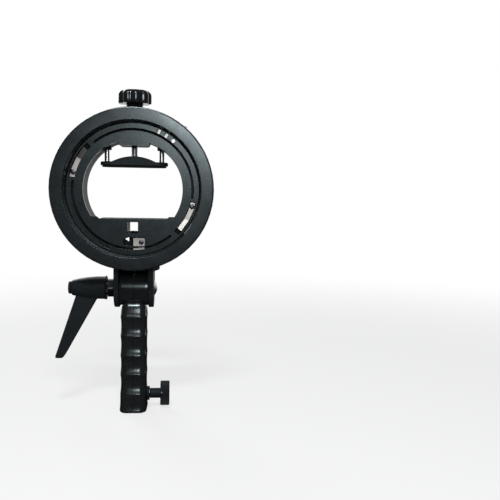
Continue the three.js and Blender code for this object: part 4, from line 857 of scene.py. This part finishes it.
# From the head's middle to its edge: shares of the head's radius, and of the crown's drop there.
crown_curve = ((0.5, 0.25), (0.8, 0.64), (0.95, 1), (1, 1.5))
cross_width, cross_reach, cross_depth = 0.26, 1.15, 1.1
cross_turn = math.radians(28)


def pan_screw(node, axis, head_at_high, finish):
    """A pan head screw in a node's box. head_at_high says at which end of the axis the head is."""
    low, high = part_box(node)
    index = "XYZ".index(axis)
    centre = (low + high) / 2
    sign = 1 if head_at_high else -1
    top, tip = (high, low) if head_at_high else (low, high)
    other = "XYZ".index("X" if axis != "X" else "Y")
    head_radius = (high[other] - low[other]) / 2
    head = small_head if head_radius < small_head_below else large_head
    shank = head_radius / 2
    crown = head * crown_share
    face, end = top[index], tip[index]
    under = face - sign * head
    profile = [(0, face)]
    profile += [(head_radius * out, face - sign * crown * drop) for out, drop in crown_curve]
    profile += [(head_radius, under), (shank, under)]
    profile += [(shank, end + sign * shank / 2), (shank / 2, end), (0, end)]
    bm = bmesh.new()
    turned(bm, profile, axis, centre, steps=32)
    piece = object_from(node + "_crossed", bm)
    sides = [i for i in range(3) if i != index]
    place = Vector(centre)
    place[index] = face
    arms = []
    for side in sides:
        arm_bm = bmesh.new()
        verts = bmesh.ops.create_cube(arm_bm, size=1)["verts"]
        size = [head_radius * cross_width] * 3
        size[index] = head * cross_depth
        size[side] = head_radius * cross_reach
        bmesh.ops.scale(arm_bm, vec=size, verts=verts)
        bmesh.ops.rotate(arm_bm, matrix=Matrix.Rotation(cross_turn, 3, axis), verts=verts)
        bmesh.ops.translate(arm_bm, vec=place, verts=verts)
        arms.append(object_from("tool", arm_bm))
    carved(piece, arms)
    return place_piece(smooth(piece, degrees=40), materials[finish], slots[finish], node)


for node in ("nut_screw_left", "nut_screw_right", "lock_screw_1", "lock_screw_2", "lock_screw_3"):
    pan_screw(node, "Y", True, "zinc")
for node in ("lug_screw_left", "lug_screw_right", "groove_screw"):
    pan_screw(node, "Y", False, "dark_steel")
for node in ("grip_screw_lower", "grip_screw_upper"):
    pan_screw(node, "X", False, "dark_steel")
pan_screw("umbrella_screw", "Z", False, "zinc")
print("screws with a cross recess made")

# %% [markdown]
# ## Rounding a CAD node
#
# A moulding has no knife edges, and a rounded edge is what catches the light. A copy of the node is
# merged, its flat faces are dissolved into one, and a Bevel modifier rounds each edge steeper than an
# angle. Weighted Normal then lets the large faces decide, so the flats stay flat beside the new round.

# %% Refined copies of CAD nodes
rounded_above = math.radians(33)
flat_within = math.radians(0.6)


def refined(node, finish, round_size):
    bm = bmesh.new()
    bm.from_mesh(nodes[node].data)
    bmesh.ops.remove_doubles(bm, verts=bm.verts[:], dist=weld_distance)
    bmesh.ops.dissolve_limit(
        bm,
        angle_limit=flat_within,
        use_dissolve_boundaries=False,
        verts=bm.verts[:],
        edges=bm.edges[:],
    )
    bmesh.ops.triangulate(bm, faces=bm.faces[:], quad_method="BEAUTY", ngon_method="BEAUTY")
    piece = object_from(node + "_finished", bm, turn_outward=False)
    smooth(piece, degrees=math.degrees(rounded_above))
    bevel = piece.modifiers.new("rounded_edges", "BEVEL")
    bevel.limit_method = "ANGLE"
    bevel.angle_limit = rounded_above
    bevel.width = round_size
    bevel.segments = 2
    bevel.profile = 0.5
    bevel.use_clamp_overlap = False
    weighted = piece.modifiers.new("flat_faces", "WEIGHTED_NORMAL")
    weighted.mode = "FACE_AREA"
    weighted.weight = 50
    weighted.keep_sharp = True
    return place_piece(piece, materials[finish], slots[finish], node)


for node, finish, round_size in (
    ("front_ring", "grained", 0.25 * mm),
    ("bayonet_plate", "grained", 0.12 * mm),
    ("yoke_frame", "satin", 0.3 * mm),
    ("lock_cover", "satin", 0.4 * mm),
    ("clamp_plate", "satin", 0.5 * mm),
    ("rest_pad", "rubber", 0.4 * mm),
    ("clamp_pad", "rubber", 0.4 * mm),
    ("clamp_lever", "lever", 0.7 * mm),
    ("lever_cap", "satin", 0.4 * mm),
    ("thumbscrew_wing", "satin", 0.7 * mm),
    ("thumbscrew_bush", "satin", 0.3 * mm),
):
    refined(node, finish, round_size)
print("refined copies made")

# %% [markdown]
# ## Painted highlights in the bayonet's stop pockets
#
# Two bright ribbed bars sit in the face, in the upper pair of pockets where a light shaper's lug comes to
# rest. What lies in the pockets is not clear. The bars are a painted highlight: bright steel stands for the
# light that ribs in these pockets catch, while the opposite pair, in shade, gets none. Each is a row of
# thin bars on a base, turned to its place on the ring.

# %% Stop pockets' painted highlights
stop_angles = (65.9, 58.6)
stop_radius = 58.6 * mm
stop_size = (2.2 * mm, 0.5 * mm, 3.9 * mm)
stop_bars = 6
bar_share = 0.62
base_share = 0.6
face_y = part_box("bayonet_plate")[0].y
for number, angle in enumerate(stop_angles, 1):
    stop_bm = bmesh.new()
    bar_pitch = stop_size[2] / stop_bars
    for i in range(-1, stop_bars):
        bar = bmesh.ops.create_cube(stop_bm, size=1)["verts"]
        is_base = i < 0
        height = stop_size[2] if is_base else bar_pitch * bar_share
        depth = stop_size[1] * (base_share if is_base else 1)
        place = 0 if is_base else (i + 0.5) * bar_pitch - stop_size[2] / 2
        bmesh.ops.scale(stop_bm, vec=(stop_size[0], depth, height), verts=bar)
        bmesh.ops.translate(stop_bm, vec=(0, stop_size[1] / 2 - depth / 2, place), verts=bar)
    around = math.radians(angle)
    place = ring_middle + Vector((math.cos(around), 0, math.sin(around))) * stop_radius
    place.y = face_y
    lean = Matrix.Rotation(math.pi / 2 - around, 3, "Y")
    bmesh.ops.rotate(stop_bm, matrix=lean, verts=stop_bm.verts[:])
    bmesh.ops.translate(stop_bm, vec=place, verts=stop_bm.verts[:])
    stop = object_from("stop_highlight_plate_" + str(number), stop_bm)
    # The bright leaf steel here is a painted highlight for the light that the pocket's ribs catch.
    place_piece(stop, materials["leaf"], slots["leaf"], body=body_of["bayonet_plate"])
print("stop plates made")

# %% [markdown]
# ## Nodes that keep their CAD shape
#
# What sits inside or is already as fine as it needs to be keeps its mesh, and gets its surface.

# %% Materials on the carried-over nodes
carried = {
    "zinc": ("release_pin", "lock_pin"),
    "leaf": ("lug_spring_left", "lug_spring_right", "groove_spring", "umbrella_spring"),
    "dark_steel": (
        "lever_screw", "lever_spring", "lever_washer", "lever_insert", "lock_spring", "clamp_clip",
        "thumbscrew_stud",
    ),
    "alloy": (
        "friction_washer_left", "friction_washer_right", "clamp_nut", "socket_sleeve", "pressure_shoe",
    ),
}
for finish, names in carried.items():
    for name in names:
        nodes[name].data.materials.clear()
        nodes[name].data.materials.append(materials[finish])
        smooth(nodes[name])
print("carried-over nodes", sum(len(names) for names in carried.values()))

# %% The view transform, and the end
bpy.context.scene.view_settings.view_transform = "Standard"
